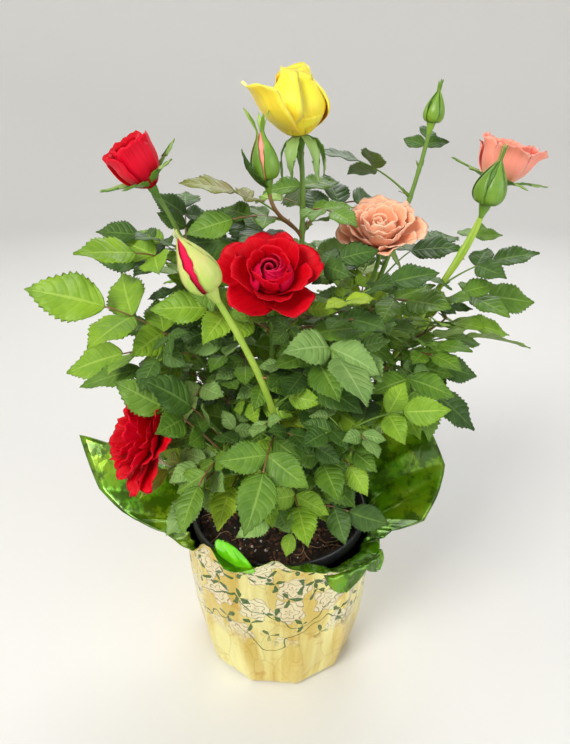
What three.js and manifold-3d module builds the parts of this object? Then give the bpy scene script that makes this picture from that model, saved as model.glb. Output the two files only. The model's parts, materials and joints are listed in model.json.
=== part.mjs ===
// A miniature rose bush in flower, growing in a black nursery pot that is wrapped in a flared foil cover.
// Units are millimetres and degrees, +Z is up, and the origin is the middle of the foil cover's flat
// underside. Canes rise from the potting soil, and each carries a leafy spray that ends in a rose or a bud.
import * as THREE from "three";
import { mergeVertices } from "three/addons/utils/BufferGeometryUtils.js";
import Module from "manifold-3d";

const wasm = await Module();
wasm.setup();

// Running gap between neighbouring solids
const GAP = 0.3;

// Foil cover: a drum round the pot, and a skirt that flares above the rim
const FOIL = {
  wall: 1.0,
  baseRadius: 50,
  cornerRadius: 55,
  cornerHeight: 2.5,
  bellyRadius: 57,
  bellyHeight: 8,
  rimRadius: 66.5,
  rimHeight: 114,
  skirtRows: 4,
  sides: 40,
};
// The skirt's edge all round, from +X by way of +Y: its compass angle, radius and height. The sheet's corners
// stand up at the right, at the left and behind, and the front is folded down to the pot's rim.
const SKIRT_EDGE = [
  [0, 114, 132], [9, 124, 142], [27, 116, 178], [45, 107, 156], [63, 100, 149], [72, 104, 160],
  [90, 98, 149], [117, 108, 161], [135, 101, 148], [153, 106, 141], [162, 122, 141], [171, 147, 163],
  [180, 128, 134], [189, 101, 120], [198, 82, 118], [216, 72, 118], [234, 69, 125], [252, 69, 120],
  [279, 70, 126], [297, 74, 119], [324, 81, 120], [333, 76, 120], [342, 82, 119], [351, 103, 120],
];

// Nursery pot and the soil in it
const POT = { baseRadius: 46, topRadius: 59, lipRadius: 62, lipDepth: 9, height: 123, wall: 1.6, sides: 30 };
const SOIL = { level: 112, clods: 2.2, flatRadius: 34, rings: 3, sides: 26 };

// Stems: how many sides a limb has, and how its thickness falls
const CANE = { sides: 6, segments: 4, footRadius: 2.3, flare: 1.35 };
const STALK = { sides: 5, segments: 6 };
const FLOWER_STALK_SEGMENTS = 2;
const RACHIS = { radius: 0.75 };

// Leaves: the terminal leaflet takes the outer part of a leaf, and pairs of leaflets stand along its stalk
const LEAF = {
  terminalFrom: 0.54,
  pairsAt: [0.38, 0.2],
  pairShare: [0.86, 0.66],
  pairAngle: [62, 68],
  width: 0.66,
  thickness: 1.1,
  fold: 0.2,
  arch: 0.14,
  joint: 0.9,
  fewest: 3,
  climb: 24,
  droop: 20,
  roll: 34,
};
// A leaflet that comes closer than this to another leaf, limb or bloom is left out
const CLEAR = { leaf: 2.6, limb: 1.9, foil: 4.2, soil: 3.0 };
const OWN_REACH = 30; // a leaf may touch its own stem this near to where it grows
const TURN = 144; // degrees from one leaf to the next up a rose stem

// Shoots. `tip` is the foot of the bloom and `face` the way the bloom looks; `rise` and `reach` are the
// shares of the shoot's length over which it keeps its first and its last direction. A shoot with a foot has
// a bare cane up to `bare`, and one with a parent forks off it at `at`. `leaves` says how many the rule
// grows, and over what stretch.
const SHOOTS = [
  {
    name: "yellow_rose", foot: [5, 8], tip: [13, 4, 360], face: [-0.1, -0.05, 1], rise: 0.4, reach: 0.25,
    top: 1.35, bare: 0.2, neck: 0.94, bloom: "yellow",
    leaves: { count: 9, from: 0.3, to: 0.9, phase: 20, size: 82 },
  },
  {
    name: "red_half_open_rose", foot: [-13, 3], tip: [-65, -6, 337], face: [-0.45, -0.18, 0.88], rise: 0.3,
    reach: 0.22, top: 1.2, bare: 0.22, neck: 0.89, bloom: "redHalf",
    leaves: { count: 8, from: 0.32, to: 0.86, phase: 75, size: 74 },
  },
  {
    name: "tall_bud", foot: [15, 13], tip: [88, 30, 367], face: [0.14, 0, 1], rise: 0.22, reach: 0.3,
    top: 1.15, bare: 0.2, bloom: "tallBud",
    leaves: { count: 7, from: 0.3, to: 0.72, phase: 40, size: 74 },
  },
  {
    name: "pink_rose", foot: [16, -3], tip: [126, 22, 331], face: [0.28, 0.02, 1], rise: 0.12, reach: 0.2,
    top: 1.45, bare: 0.24, neck: 0.9, bloom: "pink",
    leaves: { count: 5, from: 0.44, to: 0.7, phase: 150, size: 74 },
  },
  {
    name: "coral_rose", foot: [7, 16], tip: [62, 16, 302], face: [-0.12, -0.42, 0.9], rise: 0.3,
    reach: 0.18, top: 1.3, bare: 0.24, neck: 0.9, bloom: "coral",
    leaves: { count: 7, from: 0.32, to: 0.86, phase: 200, size: 74 },
  },
  {
    name: "red_open_rose", foot: [-2, -7], tip: [-3, -30, 290], face: [0.02, -0.6, 0.8], rise: 0.35,
    reach: 0.14, top: 1.4, bare: 0.24, neck: 0.88, bloom: "redOpen",
    leaves: { count: 8, from: 0.3, to: 0.84, phase: 265, size: 71 },
  },
  {
    name: "split_bud", foot: [3, -17], tip: [-26, -84, 304], face: [-0.42, -0.2, 0.88], rise: 0.3,
    reach: 0.4, top: 1.5, bare: 0.26, bloom: "splitBud",
    leaves: { count: 4, from: 0.34, to: 0.62, phase: 330, size: 69 },
  },
  {
    name: "blown_red_rose", foot: [-15, -10], tip: [-65, -43, 203], face: [-0.84, -0.3, 0.42], rise: 0.4,
    reach: 0.3, top: 1.5, bare: 0.4, neck: 0.8, bloom: "redBlown",
    leaves: { count: 3, from: 0.5, to: 0.75, phase: 230, size: 63 },
  },
  {
    name: "pink_bud", parent: "yellow_rose", at: 0.8, tip: [-4, -12, 340], face: [-0.14, -0.06, 1],
    rise: 0.35, reach: 0.45, base: 1.1, top: 1.1, bloom: "pinkBud",
    leaves: { count: 1, from: 0.45, to: 0.45, phase: 200, size: 53 },
  },
  {
    name: "green_bud", parent: "pink_rose", at: 0.72, tip: [114, -4, 326], face: [0.16, -0.08, 1],
    rise: 0.3, reach: 0.4, base: 1.3, top: 1.3, bloom: "greenBud",
    leaves: { count: 0, from: 0, to: 0, phase: 0, size: 0 },
  },
  {
    name: "foliage_left", parent: "red_half_open_rose", at: 0.3, tip: [-62, -22, 262],
    face: [-0.7, -0.1, 0.6], rise: 0.3, reach: 0.3, base: 1.2, top: 0.8,
    leaves: { count: 8, from: 0.2, to: 1, phase: 180, size: 79 },
  },
  {
    name: "foliage_left_back", parent: "red_half_open_rose", at: 0.22, tip: [-62, 44, 214],
    face: [-0.6, 0.4, 0.6], rise: 0.3, reach: 0.3, base: 1.2, top: 0.8,
    leaves: { count: 8, from: 0.25, to: 1, phase: 110, size: 77 },
  },
  {
    name: "foliage_back_left", parent: "yellow_rose", at: 0.24, tip: [-28, 62, 262], face: [-0.2, 0.3, 0.8],
    rise: 0.3, reach: 0.3, base: 1.3, top: 0.8,
    leaves: { count: 9, from: 0.22, to: 1, phase: 60, size: 79 },
  },
  {
    name: "foliage_back", parent: "coral_rose", at: 0.26, tip: [20, 66, 250], face: [0.1, 0.4, 0.8],
    rise: 0.3, reach: 0.3, base: 1.3, top: 0.8,
    leaves: { count: 9, from: 0.22, to: 1, phase: 100, size: 79 },
  },
  {
    name: "foliage_back_right", parent: "tall_bud", at: 0.24, tip: [62, 60, 248], face: [0.4, 0.4, 0.8],
    rise: 0.3, reach: 0.3, base: 1.2, top: 0.8,
    leaves: { count: 8, from: 0.25, to: 1, phase: 30, size: 77 },
  },
  {
    name: "foliage_right", parent: "pink_rose", at: 0.3, tip: [78, -16, 252], face: [0.5, -0.2, 0.8],
    rise: 0.3, reach: 0.3, base: 1.2, top: 0.8,
    leaves: { count: 7, from: 0.4, to: 1, phase: 330, size: 71 },
  },
  {
    name: "foliage_front_right", parent: "red_open_rose", at: 0.3, tip: [42, -60, 222],
    face: [0.3, -0.4, 0.7], rise: 0.3, reach: 0.3, base: 1.2, top: 0.8,
    leaves: { count: 8, from: 0.25, to: 1, phase: 310, size: 60 },
  },
  {
    name: "foliage_front", parent: "split_bud", at: 0.3, tip: [14, -62, 166], face: [0.1, -0.8, 0.2],
    rise: 0.3, reach: 0.3, base: 1.1, top: 0.8,
    leaves: { count: 5, from: 0.3, to: 1, phase: 280, size: 63 },
  },
  {
    name: "foliage_front_left", parent: "red_open_rose", at: 0.24, tip: [-34, -62, 208],
    face: [-0.3, -0.5, 0.5], rise: 0.3, reach: 0.3, base: 1.2, top: 0.8,
    leaves: { count: 8, from: 0.25, to: 1, phase: 230, size: 71 },
  },
  {
    name: "foliage_low_left", parent: "blown_red_rose", at: 0.4, tip: [-66, 2, 168], face: [-0.8, 0.1, 0.2],
    rise: 0.3, reach: 0.3, base: 1.1, top: 0.8,
    leaves: { count: 6, from: 0.3, to: 1, phase: 170, size: 66 },
  },
  {
    name: "foliage_crown", parent: "red_open_rose", at: 0.62, tip: [34, -34, 286], face: [0.3, -0.3, 0.7],
    rise: 0.3, reach: 0.3, base: 1.1, top: 0.8,
    leaves: { count: 6, from: 0.3, to: 1, phase: 0, size: 71 },
  },
];

// Leaves with a place of their own: the shoot, how far up it, the leaf's tip, its pairs of leaflets and its
// roll
const PLACED_LEAVES = [
  { shoot: "foliage_left", at: 0.78, tip: [-137, -30, 283], pairs: 2, roll: -20 },
  { shoot: "foliage_left", at: 0.6, tip: [-112, -42, 232], pairs: 1, roll: 15 },
  { shoot: "red_half_open_rose", at: 0.84, tip: [-100, -10, 313], pairs: 2, roll: 10 },
  { shoot: "red_half_open_rose", at: 0.78, tip: [-104, -6, 296], pairs: 1, roll: -15 },
  { shoot: "pink_bud", at: 0.34, tip: [-48, -24, 341], pairs: 1, roll: 0 },
  { shoot: "yellow_rose", at: 0.86, tip: [42, -30, 322], pairs: 2, roll: 10 },
  { shoot: "yellow_rose", at: 0.76, tip: [-46, 2, 318], pairs: 2, roll: -10 },
  { shoot: "foliage_front_left", at: 0.9, tip: [-84, -62, 243], pairs: 2, roll: 0 },
  { shoot: "foliage_front_left", at: 0.75, tip: [-62, -74, 252], pairs: 2, roll: 10 },
  { shoot: "foliage_front", at: 0.9, tip: [-20, -92, 170], pairs: 2, roll: 0 },
  { shoot: "foliage_front", at: 1, tip: [4, -76, 139], pairs: 1, roll: 0 },
  { shoot: "pink_rose", at: 0.56, tip: [145, -26, 252], pairs: 2, roll: -30 },
  { shoot: "pink_rose", at: 0.5, tip: [133, 8, 214], pairs: 1, roll: 0 },
  { shoot: "pink_rose", at: 0.68, tip: [124, 14, 262], pairs: 1, roll: 0 },
  { shoot: "pink_rose", at: 0.76, tip: [156, 10, 296], pairs: 1, roll: 10 },
  { shoot: "pink_rose", at: 0.86, tip: [141, 52, 304], pairs: 1, roll: 0 },
  { shoot: "tall_bud", at: 0.86, tip: [22, 34, 352], pairs: 1, roll: 30 },
  { shoot: "tall_bud", at: 0.92, tip: [96, 62, 366], pairs: 1, roll: 0 },
  { shoot: "foliage_right", at: 0.9, tip: [100, -52, 250], pairs: 2, roll: 0 },
  { shoot: "foliage_crown", at: 0.9, tip: [44, -66, 292], pairs: 1, roll: 0 },
];

// Colours of the solids
const COLOUR = {
  foil: 0xd9c27a, pot: 0x1d1e1f, soil: 0x2a1c14, cane: 0x6f8f2e, leaf: 0x3a6b33,
  yellow: 0xf4d51c, pink: 0xf2897c, coral: 0xf29a72, red: 0xc4102a, bud: 0x86a832,
};

const UP = new THREE.Vector3(0, 0, 1);
const radians = THREE.MathUtils.degToRad;
const vector = (list) => new THREE.Vector3(...list);
const compass = (degrees) => new THREE.Vector3(Math.cos(radians(degrees)), Math.sin(radians(degrees)), 0);

// A repeatable number from 0 to 1 for a seed and a count
function chance(seed, count) {
  const wave = Math.sin(seed * 12.9898 + count * 78.233) * 43758.5453;
  return wave - Math.floor(wave);
}

// Solids: a geometry's shared vertices are merged, and it becomes a body that can be joined and cut
function solidOf(geometry) {
  const bare = new THREE.BufferGeometry().setAttribute("position", geometry.getAttribute("position").clone());
  if (geometry.index) bare.setIndex(geometry.index.clone());
  const merged = mergeVertices(bare, 1e-4);
  return new wasm.Manifold(
    new wasm.Mesh({
      numProp: 3,
      vertProperties: new Float32Array(merged.attributes.position.array),
      triVerts: new Uint32Array(merged.index.array),
    }),
  );
}

function joined(geometries) {
  return wasm.Manifold.union(geometries.map(solidOf));
}

function geometryOf(solid) {
  const { vertProperties, triVerts, numProp } = solid.getMesh();
  const positions = new Float32Array((vertProperties.length / numProp) * 3);
  for (let i = 0; i < positions.length / 3; i += 1) {
    positions.set(vertProperties.subarray(i * numProp, i * numProp + 3), i * 3);
  }
  const geometry = new THREE.BufferGeometry();
  geometry.setAttribute("position", new THREE.BufferAttribute(positions, 3));
  geometry.setIndex(outerSkin(positions, triVerts));
  return geometry;
}

// The faces of the largest shell of a mesh: hollows that joining has sealed are filled, and loose scraps
// dropped
function outerSkin(positions, faces) {
  const shellOf = Array.from({ length: positions.length / 3 }, (unused, i) => i);
  const find = (i) => {
    while (shellOf[i] !== i) {
      shellOf[i] = shellOf[shellOf[i]];
      i = shellOf[i];
    }
    return i;
  };
  for (let i = 0; i < faces.length; i += 3) {
    shellOf[find(faces[i])] = find(faces[i + 1]);
    shellOf[find(faces[i + 1])] = find(faces[i + 2]);
  }
  const volumes = new Map();
  const corner = (i) => new THREE.Vector3().fromArray(positions, faces[i] * 3);
  for (let i = 0; i < faces.length; i += 3) {
    const shell = find(faces[i]);
    const part = corner(i).cross(corner(i + 1)).dot(corner(i + 2)) / 6;
    volumes.set(shell, (volumes.get(shell) ?? 0) + part);
  }
  const [largest] = [...volumes].reduce((best, entry) => (entry[1] > best[1] ? entry : best));
  return Array.from(faces).filter((unused, i) => find(faces[i - (i % 3)]) === largest);
}

// A closed thin sheet: a grid of points place(u, v), with a front and a back that meet along its border
function sheet(across, along, place, thickness) {
  const positions = [];
  const front = [];
  const back = [];
  const step = 1e-3;
  for (let j = 0; j <= along; j += 1) {
    for (let i = 0; i <= across; i += 1) {
      const u = (2 * i) / across - 1;
      const v = j / along;
      const point = place(u, v);
      const border = i === 0 || j === 0 || i === across || j === along;
      front.push(positions.length / 3);
      if (border) {
        back.push(positions.length / 3);
        positions.push(...point.toArray());
      } else {
        const du = place(u + step, v).sub(place(u - step, v));
        const dv = place(u, v + step).sub(place(u, v - step));
        const lift = du.cross(dv).setLength(thickness / 2);
        positions.push(...point.clone().add(lift).toArray());
        back.push(positions.length / 3);
        positions.push(...point.clone().sub(lift).toArray());
      }
    }
  }
  const faces = [];
  for (let j = 0; j < along; j += 1) {
    for (let i = 0; i < across; i += 1) {
      const a = j * (across + 1) + i;
      const [b, c, d] = [a + 1, a + across + 2, a + across + 1];
      faces.push(front[a], front[b], front[c], front[a], front[c], front[d]);
      faces.push(back[a], back[c], back[b], back[a], back[d], back[c]);
    }
  }
  const geometry = new THREE.BufferGeometry();
  geometry.setAttribute("position", new THREE.Float32BufferAttribute(positions, 3));
  geometry.setIndex(faces);
  return geometry;
}

// A tapering limb along path(t): a cylinder whose height runs along the path
function limb(path, from, to, radiusAt, sides, segments) {
  const geometry = new THREE.CylinderGeometry(1, 1, 1, sides, segments);
  const frames = [];
  let side = null;
  for (let i = 0; i <= segments; i += 1) {
    const t = from + ((to - from) * i) / segments;
    const ahead = path.tangent(t);
    if (!side) side = Math.abs(ahead.x) < 0.9 ? new THREE.Vector3(1, 0, 0) : new THREE.Vector3(0, 1, 0);
    side = side.clone().addScaledVector(ahead, -side.dot(ahead)).normalize();
    frames.push({ point: path.point(t), side, other: ahead.clone().cross(side), radius: radiusAt(t) });
  }
  const position = geometry.attributes.position;
  for (let i = 0; i < position.count; i += 1) {
    const frame = frames[Math.round((position.getY(i) + 0.5) * segments)];
    const place = frame.point.clone();
    place.addScaledVector(frame.side, position.getZ(i) * frame.radius);
    place.addScaledVector(frame.other, position.getX(i) * frame.radius);
    position.setXYZ(i, place.x, place.y, place.z);
  }
  return geometry;
}

// Foil cover: the radius and height of the skirt's edge at an angle
function skirtEdge(angle) {
  const turn = ((angle % 360) + 360) % 360;
  const i = SKIRT_EDGE.findLastIndex((key) => key[0] <= turn);
  const [from, radius, height] = SKIRT_EDGE[i];
  const [to, nextRadius, nextHeight] = SKIRT_EDGE[(i + 1) % SKIRT_EDGE.length];
  const share = (turn - from) / ((to || 360) - from);
  return [radius + (nextRadius - radius) * share, height + (nextHeight - height) * share];
}

// The outside of the foil at an angle: five rows for the drum, and the skirt's, which curve out to its edge
function foilRows(angle) {
  const { rimRadius, rimHeight } = FOIL;
  const [edgeRadius, edgeHeight] = skirtEdge(angle);
  const rise = 0.5 * (edgeHeight - rimHeight) + 0.06 * (edgeRadius - rimRadius);
  const skirt = new THREE.QuadraticBezierCurve(
    new THREE.Vector2(rimRadius, rimHeight),
    new THREE.Vector2(rimRadius + 0.15 * rise, rimHeight + rise),
    new THREE.Vector2(edgeRadius, edgeHeight),
  );
  return [
    [0, 0],
    [FOIL.baseRadius, 0],
    [FOIL.cornerRadius, FOIL.cornerHeight],
    [FOIL.bellyRadius, FOIL.bellyHeight],
    ...skirt.getPoints(FOIL.skirtRows).map((spot) => spot.toArray()),
  ];
}

// The same rows moved inwards by the foil's wall, square to the profile
function innerRows(rows) {
  return rows.slice(0, -1).map(([radius, height], i) => {
    if (i === 0) return [0, FOIL.wall];
    const [before, after] = [rows[i - 1], rows[i + 1]];
    const along = new THREE.Vector2(after[0] - before[0], after[1] - before[1]).normalize();
    return [radius - along.y * FOIL.wall, height + along.x * FOIL.wall];
  });
}

// A body turned about Z whose profile may change round it: each row gives a radius and a height at an angle,
// and the first and last rows are points on the axis
function turnedBy(rows, sides, start = 0) {
  const blank = rows.map((unused, j) => new THREE.Vector2(j === 0 || j === rows.length - 1 ? 0 : 1, j));
  const geometry = new THREE.LatheGeometry(blank, sides);
  const position = geometry.attributes.position;
  for (let i = 0; i < position.count; i += 1) {
    const angle = start + (Math.floor(i / rows.length) * 360) / sides;
    const [radius, height] = rows[i % rows.length](angle);
    const place = compass(angle).multiplyScalar(radius);
    position.setXYZ(i, place.x, place.y, height);
  }
  return geometry;
}

const turned = (profile, sides) => turnedBy(profile.map((spot) => () => spot), sides);

// The foil goes up the outside, over the skirt's edge, and down the inside
function foilCover() {
  const loopAt = (angle) => {
    const rows = foilRows(angle);
    return [...rows, ...innerRows(rows).reverse()];
  };
  const rows = loopAt(0).map((unused, j) => (angle) => loopAt(angle)[j]);
  return turnedBy(rows, FOIL.sides);
}

function nurseryPot() {
  const floor = FOIL.wall + GAP;
  const { baseRadius, topRadius, lipRadius, lipDepth, height, wall } = POT;
  return turned(
    [
      [0, floor],
      [baseRadius, floor],
      [topRadius, height - lipDepth],
      [lipRadius, height - lipDepth],
      [lipRadius, height],
      [lipRadius - wall, height],
      [topRadius - wall, height - lipDepth],
      [baseRadius - wall, floor + wall],
      [0, floor + wall],
    ],
    POT.sides,
  );
}

// Potting soil: flat where the canes stand, with clods towards the pot's wall
function pottingSoil() {
  const floor = FOIL.wall + GAP + POT.wall + GAP;
  const slope = (POT.topRadius - POT.baseRadius) / (POT.height - POT.lipDepth - FOIL.wall - GAP);
  const wallAt = (height) => POT.baseRadius + slope * (height - FOIL.wall - GAP) - POT.wall - 3 * GAP;
  const geometry = turned(
    [
      [0, floor],
      [wallAt(floor), floor],
      [wallAt(SOIL.level), SOIL.level],
      ...Array.from({ length: SOIL.rings }, (unused, i) => [
        wallAt(SOIL.level) - ((wallAt(SOIL.level) - SOIL.flatRadius) * (i + 1)) / SOIL.rings,
        SOIL.level,
      ]),
      [0, SOIL.level],
    ],
    SOIL.sides,
  );
  const position = geometry.attributes.position;
  for (let i = 0; i < position.count; i += 1) {
    const [x, y, z] = [position.getX(i), position.getY(i), position.getZ(i)];
    const radius = Math.hypot(x, y);
    const inside = radius > SOIL.flatRadius + 1 && radius < wallAt(SOIL.level) - 1;
    if (z > SOIL.level - 1 && inside) {
      const clod = chance(Math.round(radius), Math.round((Math.atan2(y, x) * SOIL.sides) / (2 * Math.PI)));
      position.setZ(i, SOIL.level + SOIL.clods * (clod - 0.4));
    }
  }
  return geometry;
}

// A shoot's path: a cubic curve that leaves along `start` and arrives along `face`
function pathOf(foot, start, tip, face, rise, reach) {
  const span = foot.distanceTo(tip);
  const curve = new THREE.CubicBezierCurve3(
    foot,
    foot.clone().addScaledVector(start, rise * span),
    tip.clone().addScaledVector(face, -reach * span),
    tip,
  );
  const share = (t) => THREE.MathUtils.clamp(t, 0, 1);
  return {
    point: (t) => curve.getPointAt(share(t)),
    tangent: (t) => curve.getTangentAt(share(t)),
    length: curve.getLength(),
  };
}

// Where a side shoot starts: as soon as its slanting end is a running gap clear of its parent. A limb of few
// sides is a little slimmer than its radius says.
const FLATTER = 0.97;
function forkStart(path, radius, parent, at) {
  const step = 0.1 / path.length;
  const near = Array.from({ length: 81 }, (unused, i) => at + ((i - 40) * 0.4) / parent.path.length);
  const axis = near.map((t) => parent.path.point(t));
  let from = 0;
  for (;;) {
    const point = path.point(from);
    const slant = path.tangent(from).dot(parent.path.tangent(at));
    const apart = Math.min(...axis.map((spot) => spot.distanceTo(point)));
    if (apart - radius * FLATTER * slant > parent.radiusAt(at) * FLATTER + GAP) return from;
    from += step;
  }
}

const shoots = new Map();
for (const row of SHOOTS) {
  const tip = vector(row.tip);
  const face = vector(row.face).normalize();
  let foot;
  let start = UP.clone();
  let base = CANE.footRadius;
  if (row.parent) {
    const parent = shoots.get(row.parent);
    foot = parent.path.point(row.at);
    base = row.base;
    const along = parent.path.tangent(row.at);
    const away = tip.clone().sub(foot).normalize();
    start = along.clone().multiplyScalar(0.6).add(away).normalize();
  } else {
    foot = new THREE.Vector3(...row.foot, SOIL.level + GAP);
  }
  const path = pathOf(foot, start, tip, face, row.rise, row.reach);
  const radiusAt = (t) => base + (row.top - base) * t;
  const from = row.parent ? forkStart(path, base, shoots.get(row.parent), row.at) : 0;
  shoots.set(row.name, { ...row, path, radiusAt, face, start: from, tipPoint: tip });
}

// What the leaves keep clear of: limbs as bars with a radius, and leaves and blooms as skins of points and
// faces
const bars = [];
const skins = [];
const PATH_STEPS = 16;

function addBars(points, radius, owner) {
  for (let i = 0; i + 1 < points.length; i += 1) {
    bars.push({ a: points[i], b: points[i + 1], radius, owner });
  }
}

function skinOf(points, faces) {
  const middle = new THREE.Box3().setFromPoints(points).getCenter(new THREE.Vector3());
  const reach = Math.max(...points.map((point) => point.distanceTo(middle)));
  return { points, faces, middle, reach };
}

function distanceToBar(point, bar) {
  const along = bar.b.clone().sub(bar.a);
  const share = point.clone().sub(bar.a).dot(along) / Math.max(along.lengthSq(), 1e-9);
  return point.distanceTo(bar.a.clone().addScaledVector(along, THREE.MathUtils.clamp(share, 0, 1)));
}

function pathPoints(path, from, to, steps) {
  return Array.from({ length: steps + 1 }, (unused, i) => path.point(from + ((to - from) * i) / steps));
}

// Whether the straight line from a to b passes through a face
function pierces(a, b, [p, q, r]) {
  const side = (w, x, y, z) => x.clone().sub(w).cross(y.clone().sub(w)).dot(z.clone().sub(w)) > 0;
  if (side(p, q, r, a) === side(p, q, r, b)) return false;
  const turn = side(a, b, p, q);
  return turn === side(a, b, q, r) && turn === side(a, b, r, p);
}

function facesCross(some, others) {
  const edges = (face) => [[face[0], face[1]], [face[1], face[2]], [face[2], face[0]]];
  const through = (from, into) =>
    from.some((face) => edges(face).some(([a, b]) => into.some((other) => pierces(a, b, other))));
  return through(some, others) || through(others, some);
}

// The foil's skirt as a cloud, closely enough spaced that nothing slips through
const SKIRT_POINTS = [];
for (let angle = 0; angle < 360; angle += 3) {
  const rows = foilRows(angle).slice(4);
  rows.forEach(([radius, height], i) => {
    const [nextRadius, nextHeight] = rows[Math.min(i + 1, rows.length - 1)];
    for (let share = 0; share < 1; share += 0.25) {
      const out = radius + (nextRadius - radius) * share;
      SKIRT_POINTS.push(compass(angle).multiplyScalar(out).setZ(height + (nextHeight - height) * share));
    }
  });
}

function clearOfPot(point) {
  if (point.z > 200) return true;
  const out = Math.hypot(point.x, point.y);
  if (out < POT.lipRadius + CLEAR.foil && point.z < SOIL.level + CLEAR.soil) return false;
  if (out > POT.lipRadius - CLEAR.foil && point.z < POT.height + CLEAR.soil) return false;
  return SKIRT_POINTS.every((other) => other.distanceTo(point) > CLEAR.foil);
}

// Whether a stalk or a leaflet has room; `own` names the bars it may touch
function hasRoom(skin, own) {
  for (const bar of bars) {
    if (own(bar)) continue;
    const least = bar.radius + CLEAR.limb;
    if (distanceToBar(skin.middle, bar) > least + skin.reach) continue;
    if (skin.points.some((point) => distanceToBar(point, bar) < least)) return false;
    if (skin.faces.some((face) => pierces(bar.a, bar.b, face))) return false;
  }
  for (const other of skins) {
    if (other.middle.distanceTo(skin.middle) > other.reach + skin.reach + CLEAR.leaf) continue;
    const isNear = (spot) => skin.points.some((point) => point.distanceTo(spot) < CLEAR.leaf);
    if (other.points.some(isNear) || facesCross(skin.faces, other.faces)) return false;
  }
  return skin.points.every(clearOfPot);
}

// A leaf's midline rises in a low arch from the stem to its tip
function midline(base, tip, arch) {
  const chord = tip.clone().sub(base);
  const lift = arch * chord.length();
  return {
    point: (s) => base.clone().addScaledVector(chord, s).addScaledVector(UP, lift * 4 * s * (1 - s)),
    tangent: (s) => chord.clone().addScaledVector(UP, lift * 4 * (1 - 2 * s)).normalize(),
  };
}

// A leaflet's surface: `a` runs from its base to its tip and `b` from edge to edge. It is widest below the
// middle, folded up along its midrib, and bends down towards the tip.
function leafletPoint(leaflet, a, b) {
  const { base, ahead, side, normal, length } = leaflet;
  const half = 0.5 * LEAF.width * length * Math.sin(Math.PI * Math.pow(a, 0.8)) ** 0.85;
  const across = b * half;
  const drop = LEAF.arch * length * a * a - LEAF.fold * Math.abs(across);
  const point = base.clone().addScaledVector(ahead, a * length);
  return point.addScaledVector(side, across).addScaledVector(normal, -drop);
}

// A leaflet's corners, as shares of its length and half width, and the place where its midrib is thickest
const END_CORNERS = [[0.3, 0.9], [0.66, 0.98]];
const PAIR_CORNERS = [[0.44, 1.08]];
const RIB_AT = 0.42;

function leafletOutline(leaflet) {
  const corners = leaflet.hand ? PAIR_CORNERS : END_CORNERS;
  const lefts = corners.map(([a, b]) => leafletPoint(leaflet, a, b));
  const rights = corners.map(([a, b]) => leafletPoint(leaflet, a, -b)).reverse();
  return [...lefts, leafletPoint(leaflet, 1, 0), ...rights];
}

// A leaflet's skin: a fan of faces from its midrib to its outline, with points spread over it
const FAN_SHARES = [0.3, 0.55, 0.8, 1];
const EDGE_SHARES = [0, 1 / 3, 2 / 3];
function leafletSkin(leaflet) {
  const rib = leafletPoint(leaflet, RIB_AT, 0);
  const outline = [leaflet.base, ...leafletOutline(leaflet)];
  const points = [rib];
  const faces = outline.map((corner, i) => {
    const next = outline[(i + 1) % outline.length];
    for (const share of EDGE_SHARES) {
      const edge = corner.clone().lerp(next, share);
      for (const out of FAN_SHARES) points.push(rib.clone().lerp(edge, out));
    }
    return [rib, corner, next];
  });
  // The leaflet's own foot lies on its stalk, so the points there are left out
  const nearFoot = leaflet.length * 0.07;
  return skinOf(points.filter((point) => point.distanceTo(leaflet.base) > nearFoot), faces);
}

// A petal's skin: a grid of points, and the two faces of each of its cells
const PETAL_GRID = [0, 0.25, 0.5, 0.75, 1];
function petalSkin(place) {
  const rows = PETAL_GRID.map((v) => PETAL_GRID.map((u) => place(2 * u - 1, v)));
  const faces = [];
  for (let i = 0; i + 1 < rows.length; i += 1) {
    for (let j = 0; j + 1 < rows.length; j += 1) {
      const [p, q, r, t] = [rows[i][j], rows[i + 1][j], rows[i + 1][j + 1], rows[i][j + 1]];
      faces.push([p, q, r], [p, r, t]);
    }
  }
  return skinOf(rows.flat(), faces);
}

// The way ahead, to the left and up out of the blade at a place along a leaf
function leafFrame(line, s, roll) {
  const ahead = line.tangent(s);
  const level = UP.clone().cross(ahead);
  if (level.length() < 1e-3) level.set(1, 0, 0);
  const side = level.normalize().applyAxisAngle(ahead, radians(roll));
  const normal = ahead.clone().cross(side).normalize();
  return { ahead, side, normal };
}

// The leaflets of a leaf: one at its end, and pairs that stand out from its stalk
function leafletsOf(base, tip, pairs, roll, arch) {
  const line = midline(base, tip, arch);
  const span = base.distanceTo(tip);
  const make = (s, turn, length) => {
    const { ahead, normal } = leafFrame(line, s, roll);
    const way = ahead.clone().applyAxisAngle(normal, radians(turn));
    const across = normal.clone().cross(way).normalize();
    return { base: line.point(s), ahead: way, side: across, normal, length };
  };
  const terminal = span * (1 - LEAF.terminalFrom);
  const leaflets = [make(LEAF.terminalFrom, 0, terminal)];
  for (let i = 0; i < pairs; i += 1) {
    for (const hand of [1, -1]) {
      const leaflet = make(LEAF.pairsAt[i], hand * LEAF.pairAngle[i], terminal * LEAF.pairShare[i]);
      leaflets.push({ ...leaflet, pair: i, hand });
    }
  }
  return { line, leaflets };
}

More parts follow.
